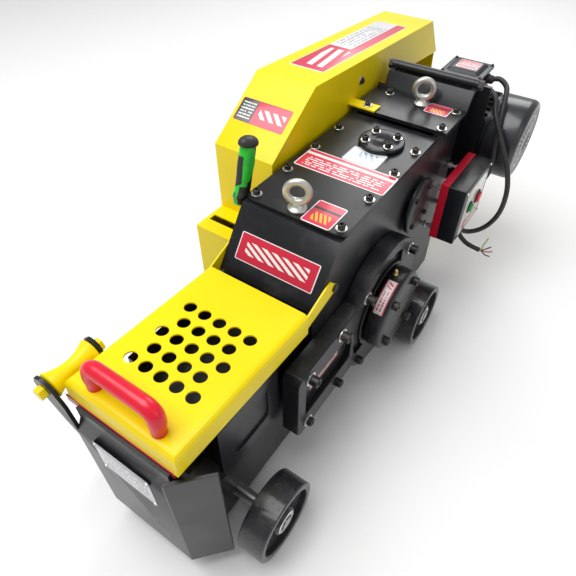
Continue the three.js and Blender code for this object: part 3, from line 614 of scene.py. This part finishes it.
screws("top_plate_screws", [(x, y, TOP) for x in (-86, 86) for y in (18, 114, 210, 302)], UP, 6.6, 8.5, 10.2)
FILLER_SPOTS = [(-8, 317, 470), (-10, 274, 470), (40, 316, 470), (39, 275, 470)]
screws("filler_screws", FILLER_SPOTS, UP, 6.4, 9, 9.6)
SPACER = [(0, -1.4), (7.4, -1.4), (7.6, -1), (7.6, -0.1), (0, -0.1)]
mesh_piece("filler_spacers", [turned(SPACER, spot, UP, 24) for spot in FILLER_SPOTS], BLACK_OXIDE)
screws("rear_plate_screws", [(-60, 480, REAR), (99, 395, REAR), (96, 478, REAR)], UP, 6.6, 8.5, 10.5)
screws("guard_tab_bolt", [(-70, 394, REAR + 4.2)], UP, 6.2, 6, 10.5)
screws("guard_side_screw", [(-110, 430, 509)], RIGHT, 6, 5, 9.5)
ARM = [(244, 282), (55, 293), (-36, 277), (-139, 265)]
screws("arm_screws", [(ARM_FACE, y, z) for y, z in ARM], RIGHT, 9.4, 15, 13.6)
LOWER_ARM = [(53, 108), (-36, 132), (262, 160)]
screws("arm_lower_screws", [(ARM_FACE, y, z) for y, z in LOWER_ARM], RIGHT, 8.6, 12)
screws("arm_corner_screw", [(ARM_FACE, -142, 136)], RIGHT, 8.6, 9, 13)
CAP = [(51.3, 45.9), (-39.6, 51.3), (44.1, -54.0), (-54.9, -39.6)]
screws("cap_screws", [(172, CRANK[0] + y, CRANK[1] + z) for y, z in CAP], RIGHT, 9.2, 12)
COVER_SPOTS = [(INPUT_SHAFT[0] + 46 * math.cos(t), INPUT_SHAFT[1] + 46 * math.sin(t))
               for t in np.radians([45, 135, 225, 315])]
screws("shaft_cover_screws", [(115.3, y, z) for y, z in COVER_SPOTS], RIGHT, 5.5, 5)


# ---------------------------------------------------------------- turned and cast parts
def eyebolt(name, node, x, y, z):
    """A ring (circle about a circle) pressed flat where it meets its collar, and the turned collar."""
    around = np.linspace(0, 2 * math.pi, 65)
    about = np.linspace(0, 2 * math.pi, 25)
    lean = math.pi / 7
    big, small = 19.4, 6.4 + 0.9 * np.exp(-((around - 1.5 * math.pi) / 0.5) ** 2)
    radial = big + small[:, None] * np.cos(about)
    across = small[:, None] * np.sin(about)
    flat = radial * np.cos(around)[:, None]
    tall = radial * np.sin(around)[:, None] + z + 34
    ring = np.stack([x + flat * math.cos(lean) - across * math.sin(lean),
                     y + flat * math.sin(lean) + across * math.cos(lean), tall], -1)
    collar = [(0, z + 0.3), (16.2, z + 0.3), (17, z + 1.2), (17, z + 4), (16, z + 5.2), (11.5, z + 7.5),
              (9.5, z + 11), (8.8, z + 14), (0, z + 14.5)]
    piece = mesh_piece(name, [(ring, False), turned(collar, (x, y, 0), UP, 40)], EYE_ZINC)
    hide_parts(node)


eyebolt("lifting_eye_front", "eyebolt_front", -3, 22, TOP)
eyebolt("lifting_eye_rear", "eyebolt_rear", 20, 472, REAR)


def wheel(name, node, body, y, side):
    """A cast wheel: its section turned about the axle, with a dished web and a stepped hub."""
    a, b = 146, 196
    half = [(12.4, a + 2), (26, a + 2), (27, a + 3), (27, a + 16), (61, a + 16), (62, a + 14), (62.5, a + 1),
            (63.5, a), (73.5, a), (75, a + 1.5), (75, b - 1.8), (73.2, b), (63.5, b), (62, b - 1.5),
            (61, b - 12), (58, b - 14), (31, b - 12.5), (27.5, b - 11), (26, b - 4.5), (24.5, b - 3),
            (12.4, b - 3), (12.4, a + 2)]
    section = turned([(r, side * x) for r, x in half], (0, y, WHEEL_RADIUS), RIGHT, 96)
    piece = mesh_piece(name, [section], TYRE_ENAMEL, body)
    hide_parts(node)
    clip = [(15.5, side * (b - 2.8)), (21.5, side * (b - 2.8)), (22, side * (b - 2)), (21, side * (b - 1.2)),
            (15.5, side * (b - 1.2)), (15.5, side * (b - 2.8))]
    mesh_piece(name + "_washer", [turned(clip, (0, y, WHEEL_RADIUS), RIGHT, 48)], BRIGHT_ZINC, body)


for place, y in (("front", FRONT_AXLE), ("rear", REAR_AXLE)):
    for name, side in (("left", -1), ("right", 1)):
        node = f"wheel_{place}_{name}"
        wheel(f"{node}_cast", node, node, y, side)


BEARING = [(0, 135.3), (79, 135.3), (81, 136), (86.5, 139), (88, 141), (88, 165), (86.8, 169), (83, 172),
           (40, 172), (38, 172), (0, 172)]
SHAFT_LID = [(0, 106.3), (61, 106.3), (62, 107), (62, 110.5), (60.5, 113.5), (57, 115.3), (20, 115.3),
             (0, 115.3)]
FILLER = [(0, 461.3), (45.5, 461.3), (46, 462), (46, 467.5), (44.8, 469.5), (43, 470), (14, 470),
          (12.5, 468.6), (0, 468.6)]
for name, node, profile, centre, axis, n, finish in (
        ("bearing_cap_turned", "bearing_cap", BEARING, (0, *CRANK), RIGHT, 96, BLACK_CASTING),
        ("shaft_cover_turned", "shaft_cover", SHAFT_LID, (0, *INPUT_SHAFT), RIGHT, 72, BLACK_CASTING),
        ("filler_lid_turned", "filler_cover", FILLER, (16, 295, 0), UP, 72, BLACK_ENAMEL)):
    lid = mesh_piece(name, [turned(profile, centre, axis, n)], finish, smooth=50)
    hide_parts(node)


def roller():
    """The waisted roller: radius 12.5 + 9.4 t^2 along its length, its lips broken, turned about Y."""
    t = np.linspace(-1, 1, 25)
    waist = [(12.5 + 9.4 * k * k, 384 + 36.5 * k) for k in t]
    profile = [(7, 345), (18.8, 345), (20.5, 346)] + waist + [(20.5, 422), (18.8, 423), (7, 423), (7, 345)]
    piece = mesh_piece("roller_turned", [turned(profile, (-129, 0, 370), FRONT, 56)], YELLOW_COAT,
                       "feed_roller")
    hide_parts("feed_roller")


roller()


def tilt(point):
    """A point on the flat cover turned up by its 3.3 degree rise about its rear edge."""
    x, y, z = point
    a = math.radians(-3.3)
    dy, dz = y + 104, z - COVER_TOP
    return (x, -104 + dy * math.cos(a) - dz * math.sin(a), COVER_TOP + dy * math.sin(a) + dz * math.cos(a))


def handle():
    """The D handle: an oval carried along the bent grip, wider at both feet."""
    bend = [(-60, 0.4), (-60, 14), (-60, 28), (-57.5, 38), (-49, 44), (-34, 45.2), (0, 45.2), (36, 45.2),
            (51, 44), (59.5, 38), (62, 28), (62, 14), (62, 0.4)]
    path = smooth_path([tilt((x, -392, COVER_TOP + rise)) for x, rise in bend], 6)
    run = np.linspace(0, 1, len(path))
    foot = np.exp(-(run / 0.1) ** 4) + np.exp(-((1 - run) / 0.1) ** 4)
    size = 12.8 - 1.6 * foot
    section = np.stack([oval(1, 1, 32)] * len(path)) * size[:, None, None]
    patch = swept(section, path, up=(0, 1, 0.0577))
    piece = mesh_piece("handle_grip", [patch], RED_PLASTIC, "safety_cover", smooth=60)
    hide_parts("cover_handle")


handle()


def grip():
    """The lever's grip: an oval carried up the leaning axis, wider at the guard and at the palm."""
    lean = np.array([0, math.sin(0.3), math.cos(0.3)])
    back = np.array([0, math.cos(0.3), -math.sin(0.3)])
    foot = np.array([-116.5, 15.0, 458.0])
    keys = np.array([[-24, 10, 10, -4], [-14, 11.5, 12.5, -4], [-8, 13.8, 17.5, -3], [-1, 11.5, 14, -2],
                     [14, 11.2, 13.5, -1], [30, 12.2, 14.5, 0], [48, 13.2, 16.5, 1], [64, 12.6, 16, 1],
                     [76, 12.4, 16, 0.5], [81, 11, 15, 0]])
    h = np.linspace(-24, 81, 66)
    wide, deep, shift = (np.interp(h, keys[:, 0], keys[:, k]) for k in (1, 2, 3))
    kernel = np.ones(5) / 5
    wide, deep, shift = (np.convolve(np.pad(q, 2, "edge"), kernel, "valid") for q in (wide, deep, shift))
    ring = oval(1, 1, 40, 0.85)
    along_back = shift[:, None] + ring[None, :, 1] * deep[:, None]
    along_side = ring[None, :, 0] * wide[:, None]
    points = (foot + h[:, None, None] * lean + along_back[..., None] * back
              + along_side[..., None] * np.array([1.0, 0, 0]))
    body = mesh_piece("grip_body", [(points, True)], GRIP_GREEN, "clutch_lever", smooth=70,
                      uv=((-130, 0, 440), (27, 0, 0), lean * 100))
    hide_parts("lever_grip")
    dome = [(0, 0), (0.86, 0), (1.0, 2.5), (1.02, 5.5), (0.97, 9), (0.84, 12.5), (0.6, 15.5), (0.3, 17),
            (0, 17.4)]
    r, up = np.array(dome).T
    top = foot + 81 * lean
    t = np.linspace(0, 2 * math.pi, 41)
    cap = (top + up[:, None, None] * lean + (r[:, None] * np.cos(t))[..., None] * np.array([15.2, 0, 0])
           + (r[:, None] * np.sin(t))[..., None] * back * 21.5)
    mesh_piece("grip_cap", [(cap, False)], BLACK_PLASTIC, "clutch_lever", smooth=60)


def grip_finish():
    """Green soft plastic with a black ribbed panel over the palm, a black hollow below it and small slots."""
    f = Finish("grip_green", Coat_Weight=0.15)
    u, v, _ = f.axes(f.place(uv=True))
    ribs = (u * 42.0).wave()
    panel = (v > 0.34 - (0.5 - u) * 0.16) * (v < 0.86) * (u < 0.70 - (v - 0.6) * 0.1)
    hollow = (v < 0.33) * (v > 0.0) * (u > 0.62)
    slots = ((v * 26.0).fraction() > 0.5) * (v > 0.02) * (v < 0.2) * (u > 0.3) * (u < 0.5)
    dark = panel.largest(hollow).largest(slots)
    fine = f.noise(f.place(), 800.0, 3.0, 0.6)
    colour = f.mix((0.015, 0.62, 0.03), (0.03, 0.45, 0.05), f.step(f.noise(f.place(), 60.0), 0.4, 0.7))
    f.wear(Base_Color=f.mix(colour, (0.02, 0.02, 0.02), dark), Roughness=0.42 + dark * 0.2 + fine * 0.1)
    f.bump(ribs * panel * 0.5 - dark * 0.8 + fine * 0.15, 0.0008, 0.8)
    return f.material


GRIP_GREEN = grip_finish()
grip()


# ---------------------------------------------------------------- motor
def motor():
    """The finned motor frame: a turned barrel, flat fins set round it, end bells, feet and the neck."""
    y, z = MOTOR
    barrel = [(18.6, -92), (56, -92), (60, -91), (72, -86), (84, -79), (86, -76), (86, -70), (82, -68),
              (82, 130),
              (88, 131), (88, 139), (86, 140), (18.6, 140), (18.6, -92)]
    patches = [turned(barrel, (0, y, z), RIGHT, 72)]
    fin = rounded(-68, 129, 79, 91.5, 0.9, 2)
    for t in np.radians(np.arange(0, 360, 10)):
        grid, ends = slab(fin, -1.2, 1.2, 0.4, along_x, 0.4)
        reach, thick = grid[..., 2], grid[..., 0]
        turn = np.stack([grid[..., 1], y + reach * math.cos(t) - thick * math.sin(t),
                         z + reach * math.sin(t) + thick * math.cos(t)], -1)
        lowest = y + 91 * math.cos(t)
        if lowest > y - 84:
            patches.append((turn, ends))
    for a, b in ((-70, -30), (90, 130)):
        patches.append(slab(rounded(a, b, z - 72, z + 72, 5, 4), y - 95.7, y - 74, 2, along_y, 1))
    patches.append(slab(rounded(8, 82, y - 46, y + 26, 8, 4), z + 66, z + 100, 1, along_z))
    piece = mesh_piece("motor_frame", patches, MOTOR_ENAMEL, "motor_cradle", smooth=40)
    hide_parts("motor_body")


motor()


def cowl():
    """The fan cowl: a drawn shell turned about the shaft, its end pressed with rings of slots."""
    y, z = MOTOR
    shell = [(90.6, 141), (92, 140.9), (94, 141.6), (94.5, 143), (94.5, 205), (93.8, 211), (91.5, 216),
             (87, 219.6),
             (80, 221), (78, 220.2), (46, 220.2), (44, 221), (26, 221), (24, 219.4), (0, 219.4),
             (0, 217), (86, 217),
             (90, 212), (90.6, 205), (90.6, 141)]
    piece = mesh_piece("cowl_shell", [turned(shell, (0, y, z), RIGHT, 120)], COWL_ENAMEL,
                       "motor_cradle", smooth=40)
    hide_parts("fan_cowl")
    spots = [(y + 93.4 * math.cos(t), z + 93.4 * math.sin(t), t) for t in np.radians([20, 110, 200, 290])]
    heads = [turned([(0, 0), (4, 0), (4, 1.2), (2.5, 2.6), (0, 3)], (152, a, b),
                    (0, math.cos(t), math.sin(t)), 20)
             for a, b, t in spots]
    mesh_piece("cowl_screws", heads, BLACK_OXIDE, "motor_cradle")


def cowl_finish():
    """Enamel on drawn sheet; on the end, two rings of radial slots and an inner ring are sunk, and painted
    near black as painted shade in the openings.
    """
    f = Finish("cowl_enamel", Coat_Weight=0.35, Coat_Roughness=0.15)
    centre = (np.array([0, *MOTOR]) + ORIGIN) * MM
    where = f.place(shift=tuple(float(-c) for c in centre))
    x, y, z = f.axes(where)
    r = (y * y + z * z) ** 0.5
    angle = f.node("ShaderNodeMath", {"operation": "ARCTAN2"}, {0: z, 1: y})
    spokes = ((angle * (36 / (2 * math.pi))).fraction() - 0.5).size() < 0.31
    inner = ((angle * (24 / (2 * math.pi))).fraction() - 0.5).size() < 0.30
    end = x > (217.5 + ORIGIN[0]) * MM - float(centre[0])
    slots = (spokes * ((r - 0.071).size() < 0.0075)).largest(spokes * ((r - 0.053).size() < 0.006))
    slots = slots.largest(inner * ((r - 0.036).size() < 0.006)) * end
    fine = f.noise(f.place(), 380.0, 3.0, 0.5)
    patch = f.step(f.noise(f.place(), 11.0, 5.0, 0.6), 0.5, 0.75)
    colour = f.mix((0.018, 0.02, 0.025), (0.085, 0.085, 0.085), patch * 0.5)
    # the slots' near-black colour is painted shade standing in for the dark openings of the cowl
    f.wear(Base_Color=f.mix(colour, (0.002, 0.002, 0.002), slots), Roughness=0.3 + patch * 0.2 + slots * 0.5)
    f.bump(fine * 0.15 + patch * 0.1 - slots * 1.5, 0.0012, 0.8)
    return f.material


COWL_ENAMEL = cowl_finish()
cowl()


def terminal():
    """The terminal box: a rounded tray under a wide lid whose raised middle falls away in four bevels."""
    y, z = 668.0, 452.0
    tray = slab(rounded(5, 85, y - 42, y + 42, 8), z + 0.4, z + 36, 0.5, along_z, 1)
    lid = slab(rounded(-4, 95, y - 50, y + 50, 9), z + 35.5, z + 41, 1.2, along_z, 0.8)
    rise = np.linspace(0, 1, 8)
    rings = []
    for k in rise:
        ring = rounded(6 + 11 * k, 85 - 11 * k, y - 38 + 9 * k, y + 38 - 9 * k, 5)
        ring = np.vstack([ring, ring[:1]])
        rings.append(along_z(ring[:, 0], ring[:, 1],
                             np.full(len(ring), z + 40 + 8 * math.sin(k * math.pi / 2))))
    piece = mesh_piece("terminal_housing", [tray, lid, (np.array(rings), True)], MOTOR_ENAMEL, "motor_cradle")
    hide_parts("terminal_box")
    corners = [(x, k, z + 41) for x in (1.5, 89.5) for k in (y - 44.5, y + 44.5)]
    screws("terminal_screws", corners, UP, 3.4, 3, body="motor_cradle")
    gland = [(6.2, 0), (12, 0), (12.5, 0.8), (12.5, 8), (11, 9), (10, 10), (9.6, 18), (7.5, 21),
             (6.2, 21.4), (6.2, 0)]
    mesh_piece("terminal_glands", [turned(gland, (85.4, k, 470), RIGHT, 32) for k in (640, 690)],
               BLACK_PLASTIC,
               "motor_cradle")


terminal()


# ---------------------------------------------------------------- switch box
def switch_box():
    """The folded cover with small bend radii, its glands, cover screws, the printed panel, button bezels and
    button caps.
    """
    y0, y1, z0, z1 = 387, 549, 214, 357
    cover = slab(rounded(y0, y1, z0, z1, 2.5, 4), 146.4, 186, 2.2, along_x, 0.5)
    piece = mesh_piece("switch_cover_folded", [cover], BLACK_ENAMEL, smooth=50)
    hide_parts("switch_box_cover")
    gland = [(6.2, 0), (10.5, 0), (11, 0.8), (11, 5), (9.5, 6), (9, 12), (7, 14), (6.2, 14.2), (6.2, 0)]
    down = (0, 0, -1)
    glands = [turned(gland, (160, 504, 213.7), down, 32), turned(gland, (172, 470, 213.7), down, 32),
              turned(gland, (158, 549.2, 262), (0, 1, 0), 32)]
    mesh_piece("switch_glands", glands, BLACK_PLASTIC)
    heads = [(186, y, z) for y in (395, 541) for z in (222, 349)]
    screws("switch_screws", heads, RIGHT, 3.2, 2.6, finish=BRIGHT_ZINC)
    panel = slab(rounded(408, 530, 226, 345, 5), 186, 187.2, 0.5, along_x)
    mesh_piece("switch_panel", [panel], PANEL, uv=((186, 408, 226), (0, 122, 0), (0, 0, 119)))
    bezels = []
    for y, r in ((440, 14.5), (490, 17.5)):
        bezels.append(turned([(10.6, 187), (r, 187), (r, 188.6), (r - 1.6, 190), (10.6, 190), (10.6, 187)],
                             (0, y, 290), RIGHT, 40))
    mesh_piece("button_bezels", bezels, BLACK_PLASTIC)
    for node, y, r, finish, slot in (("start_button", 440, 10, GREEN_PLASTIC, "green_plastic"),
                                     ("stop_button", 490, 13, RED_PLASTIC, "red_plastic")):
        cap = [(0, 172), (9.8, 172), (9.8, 189.8), (r - 0.6, 190.1), (r, 190.8), (r, 193.4), (r - 1.2, 195),
               (0, 195.9)]
        piece = mesh_piece(node + "_cap", [turned(cap, (0, y, 290), RIGHT, 40)], finish, node)
        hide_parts(node)


def panel_finish():
    """A pale printed plate: red bars along its lower edge and thin grey rules."""
    f = Finish("switch_panel_print", Coat_Weight=0.5, Coat_Roughness=0.05)
    u, v, _ = f.axes(f.place(uv=True))
    bars = (v < 0.26) * (v > 0.07) * ((u * 7.0).fraction() > 0.16) * (u > 0.08) * (u < 0.92)
    rules = (((v * 11.0).fraction() - 0.5).size() < 0.06) * (v > 0.72) * (u > 0.1) * (u < 0.6)
    smear = f.noise(f.place(), 30.0, 4.0, 0.6)
    colour = f.mix((0.72, 0.73, 0.68), (0.55, 0.56, 0.5), f.step(smear, 0.45, 0.7))
    colour = f.mix(f.mix(colour, (0.55, 0.01, 0.04), bars), (0.25, 0.25, 0.25), rules)
    f.wear(Base_Color=colour, Roughness=0.22 + smear * 0.15)
    f.bump(smear, 0.00008, 0.4)
    return f.material


PANEL = panel_finish()
switch_box()


# ---------------------------------------------------------------- printed labels and plates
def sticker(name, corner, along, up, finish, radius=4.0, thick=0.35, body="machine"):
    """A thin rounded plate lying on a plane: corner + u*along + v*up, lifted along their cross product."""
    corner, along, up = (np.array(p, float) for p in (corner, along, up))
    wide, tall = np.linalg.norm(along), np.linalg.norm(up)
    a, b = along / wide, up / tall
    n = np.cross(a, b)

    def to_space(u, v, w):
        return corner + u[:, None] * a + v[:, None] * b + w[:, None] * n

    patch = slab(rounded(0, wide, 0, tall, radius, 5), 0.05, thick, thick * 0.5, to_space)
    return mesh_piece(name, [patch], finish, body, uv=(corner, along, up))


ROSE = (0.66, 0.035, 0.085)
PALE_EDGE = (0.88, 0.86, 0.84)


def slope_point(x, down, lift=0.0):
    """A point on the front slope, so far down from its top edge."""
    n = np.array([0, -110, 82]) / 137.2
    return np.array([x, 0, 461]) + down / 137.2 * np.array([0, -82, -110]) + lift * n


def labels():
    """Plain printed panels: coloured grounds with borders, rows of dashes and slanted bars."""
    slope = label("slope_label_print", (0.60, 0.012, 0.045), WHITE, (0.012, 0.03, PALE_EDGE),
                  emblem=(0.1, 0.9, 0.27, 0.73, 6, WHITE))
    a = slope_point(-79, 107)
    sticker("slope_label", a, (162, 0, 0), slope_point(-79, 56) - a, slope, 3)
    long = label("long_label_print", ROSE, WHITE, (0.012, 0.035, PALE_EDGE), rows=(5, 0.12, 0.62, 0.07, 0.93),
                 band=(0.72, 0.84, WHITE))
    sticker("long_label", (-90, 137, TOP), (190, 0, 0), (0, 65, 0), long, 5)
    tall = label("arrow_label_print", (0.80, 0.82, 0.83), (0.5, 0.1, 0.12), (0.03, 0.05, (0.5, 0.52, 0.54)),
                 emblem=(0.3, 0.8, 0.4, 0.8, 3, (0.30, 0.45, 0.58)))
    sticker("arrow_label", (-24, 202.4, TOP), (74, 0, 0), (0, 57, 0), tall, 6)
    lift = label("lifting_label_print", ROSE, WHITE, (0.035, 0.035, PALE_EDGE),
                 emblem=(0.2, 0.8, 0.16, 0.5, 4, (0.85, 0.5, 0.02)), band=(0.62, 0.72, (0.04, 0.03, 0.04)))
    sticker("lifting_label_front", (15, 0.8, TOP), (57, 0, 0), (0, 66, 0), lift, 5)
    sticker("lifting_label_rear", (35, 446, REAR), (52, 0, 0), (0, 44, 0), lift, 4)
    guard = label("guard_label_print", ROSE, WHITE, (0.02, 0.05, ROSE),
                  emblem=(0.42, 0.94, 0.3, 0.7, 3, WHITE),
                  rows=(5, 0.12, 0.88, 0.04, 0.32))
    rise = np.array([0, 145, 95]) / 173.35
    corner = np.array([-242, 98, 469]) + 61 * rise
    sticker("guard_front_label", corner, (117, 0, 0), 51 * rise, guard, 4)
    sticker("guard_front_label_panel", corner + (1, 0.6, 0.75), (38, 0, 0), 49 * rise,
            label("guard_panel_print", (0.03, 0.035, 0.045), WHITE, None,
                  rows=(6, 0.1, 0.9, 0.12, 0.9)), 3, 0.3)
    fall = np.array([0, 568, -36]) / 569.1
    long = label("guard_top_print", ROSE, WHITE, (0.02, 0.01, PALE_EDGE),
                 emblem=(0.2, 0.8, 0.06, 0.36, 2, WHITE))
    corner = np.array([-220, 243, 564]) + 70 * fall
    sticker("guard_top_label", corner, (82, 0, 0), 401 * fall, long, 5)
    rules = label("guard_rules_print", (0.82, 0.82, 0.84), (0.42, 0.42, 0.46), None,
                  rows=(5, 0.05, 0.95, 0.08, 0.8))
    side = np.array([-1.0, 0, 0])
    sticker("guard_top_rules", corner + (57, 0, 0) + 160 * fall + (0, 0.03, 0.42), 236 * fall,
            side * 55, rules, 3, 0.3)
    terminal_print = label("terminal_print", ROSE, WHITE, (0.03, 0.04, PALE_EDGE),
                           rows=(6, 0.3, 0.9, 0.1, 0.9))
    sticker("terminal_label", (22, 645, 500.05), (50, 0, 0), (0, 46, 0), terminal_print, 3,
            body="motor_cradle")
    data = label("data_plate_print", (0.62, 0.63, 0.64), (0.05, 0.06, 0.08), (0.02, 0.03, (0.1, 0.11, 0.13)),
                 rows=(6, 0.08, 0.78, 0.08, 0.92), band=(0.82, 0.92, (0.05, 0.06, 0.08)), roughness=0.25)
    sticker("data_plate", (-55, -431, 228), (115, 0, 0), (0, 0, 77), data, 3, 0.8)
    rivets = [turned([(0, 0.7), (2.6, 0.7), (2.4, 1.8), (1.4, 2.5), (0, 2.7)], (x, -431, z), FRONT, 20)
              for x in (-50, 55) for z in (233, 300)]
    mesh_piece("data_plate_rivets", rivets, BRIGHT_ZINC)
    arm = label("arm_label_print", (0.70, 0.68, 0.66), ROSE, (0.02, 0.08, ROSE),
                rows=(3, 0.15, 0.85, 0.3, 0.95))
    sticker("arm_label", (121, -118, 190), (0, 100, 0), (0, 0, 26), arm, 3)


def cap_label():
    """A label wrapped on the bearing cap: a patch of the cylinder about the crank."""
    t = np.radians(np.linspace(100, 148, 18))
    x = np.linspace(143, 165, 5)
    r = 88.35
    grid = np.stack([np.repeat(x[:, None], 18, 1), CRANK[0] + r * np.repeat(np.cos(t)[None], 5, 0),
                     CRANK[1] + r * np.repeat(np.sin(t)[None], 5, 0)], -1)
    finish = label("cap_label_print", (0.72, 0.70, 0.69), ROSE, (0.03, 0.1, ROSE),
                   rows=(2, 0.2, 0.8, 0.1, 0.6),
                   emblem=(0.66, 0.9, 0.25, 0.75, 2, ROSE))
    piece = mesh_piece("cap_label", [(grid, False)], finish, uv=((143, 64, 203), (0, 66, 0), (22, 0, 0)))
    shell = piece.modifiers.new("thickness", "SOLIDIFY")
    shell.thickness = 0.00025
    shell.offset = 0


labels()
cap_label()


# ---------------------------------------------------------------- finishes of the frame's own nodes
NODE_FINISH = {
    "gearbox_body": BLACK_ENAMEL, "top_cover_plate": BLACK_ENAMEL, "rear_top_plate": BLACK_ENAMEL,
    "side_housing": BLACK_CASTING, "front_frame": BLACK_ENAMEL, "front_panel": BLACK_ENAMEL,
    "side_plate": BLACK_ENAMEL, "switch_box_base": RED_ENAMEL, "motor_plate": BLACK_ENAMEL,
    "belt_guard": YELLOW_COAT, "roller_axle_bolt": YELLOW_COAT, "safety_cover": YELLOW_COAT,
    "grease_nipple": BRASS, "crank_bush_left": BRASS, "crank_bush_right": BRASS,
    "fixed_blade": TOOL_STEEL, "moving_blade": TOOL_STEEL,
    "front_axle": MACHINED_STEEL, "rear_axle": MACHINED_STEEL, "ram": MACHINED_STEEL,
               "wrist_pin": MACHINED_STEEL,
    "crankshaft": MACHINED_STEEL, "layshaft": MACHINED_STEEL, "input_shaft": MACHINED_STEEL,
    "motor_rotor": MACHINED_STEEL,
    "hinge_rod": BLACK_OXIDE, "cover_bolt_left": BLACK_OXIDE, "cover_bolt_right": BLACK_OXIDE,
    "clutch_lever": BLACK_OXIDE,
    "flywheel": CAST_IRON, "motor_pulley": CAST_IRON, "crank_gear": CAST_IRON, "connecting_rod": CAST_IRON,
    "drive_belt": DRIVE_RUBBER,
    "switch_stud_1": BRIGHT_ZINC, "switch_stud_2": BRIGHT_ZINC, "switch_stud_3": BRIGHT_ZINC,
    "switch_stud_4": BRIGHT_ZINC,
}
SOFT_EDGES = {
    "gearbox_body": 2.0, "top_cover_plate": 0.8, "rear_top_plate": 1.0, "side_housing": 3.0,
              "front_frame": 1.5,
    "front_panel": 1.0, "side_plate": 1.0, "belt_guard": 1.2, "safety_cover": 0.5, "motor_plate": 1.0,
    "switch_box_base": 0.6,
}


def eased(node, width):
    """A copy of the node: its triangles merged, flat faces joined, and its edges eased by a bevel."""
    shown = frame["nodes"][node]
    work = bmesh.new()
    work.from_mesh(shown.data)
    bmesh.ops.remove_doubles(work, verts=work.verts, dist=1e-5)
    bmesh.ops.dissolve_limit(work, angle_limit=math.radians(0.6), verts=work.verts, edges=work.edges)
    bmesh.ops.recalc_face_normals(work, faces=work.faces)
    mesh = bpy.data.meshes.new(node + "_eased")
    work.to_mesh(mesh)
    work.free()
    piece = placed(node + "_eased", mesh, NODE_FINISH[node], 32)
    edge = piece.modifiers.new("edges", "BEVEL")
    edge.width = width * MM
    edge.segments = 2
    edge.limit_method = "ANGLE"
    edge.angle_limit = math.radians(40)
    edge.harden_normals = True
    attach(piece, body_of(shown)[0])
    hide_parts(node)
    return piece


for node, finish in NODE_FINISH.items():
    if node in SOFT_EDGES:
        eased(node, SOFT_EDGES[node])
        continue
    for slot in frame["nodes"][node].material_slots:
        slot.material = finish


# ---------------------------------------------------------------- seal under the cover
def seal():
    """The red strip that closes the gap below the cover's front flange."""
    outline = rounded(-114, 98, 336, 351.5, 1.5, 3)
    mesh_piece("cover_seal", [slab(outline, -413.8, -411.4, 0.5, along_y, 0.5)], RED_ENAMEL)


seal()


# ---------------------------------------------------------------- light and floor
def stage():
    """A pale floor, a bright surround and three soft panels."""
    floor = bpy.data.meshes.new("floor")
    floor.from_pydata([(-6, -6, 0), (6, -6, 0), (6, 6, 0), (-6, 6, 0)], [], [(0, 1, 2, 3)])
    ground = bpy.data.objects.new("floor", floor)
    f = Finish("pale_floor", Roughness=0.75)
    f.wear(Base_Color=f.mix((0.96, 0.96, 0.96), (0.93, 0.93, 0.93), f.noise(f.place(), 3.0)))
    floor.materials.append(f.material)
    bpy.context.collection.objects.link(ground)
    scene = bpy.context.scene
    scene.view_settings.view_transform = "Standard"
    world = bpy.data.worlds.new("surround")
    world.use_nodes = True
    world.node_tree.nodes["Background"].inputs[0].default_value = (1.0, 1.0, 1.0, 1.0)
    world.node_tree.nodes["Background"].inputs[1].default_value = 0.42
    scene.world = world
    for name, place, size, power in (("key", (-0.9, -0.9, 3.4), 2.4, 96), ("fill", (2.8, -0.4, 1.8), 1.4, 7),
                                     ("back", (-0.6, 2.8, 2.4), 1.6, 34)):
        lamp = bpy.data.lights.new(name, "AREA")
        lamp.shape = "SQUARE"
        lamp.size = size
        lamp.energy = power
        light = bpy.data.objects.new(name, lamp)
        light.location = place
        light.rotation_euler = (Vector((0, 0, 0.25)) - Vector(place)).to_track_quat("-Z", "Y").to_euler()
        bpy.context.collection.objects.link(light)


stage()
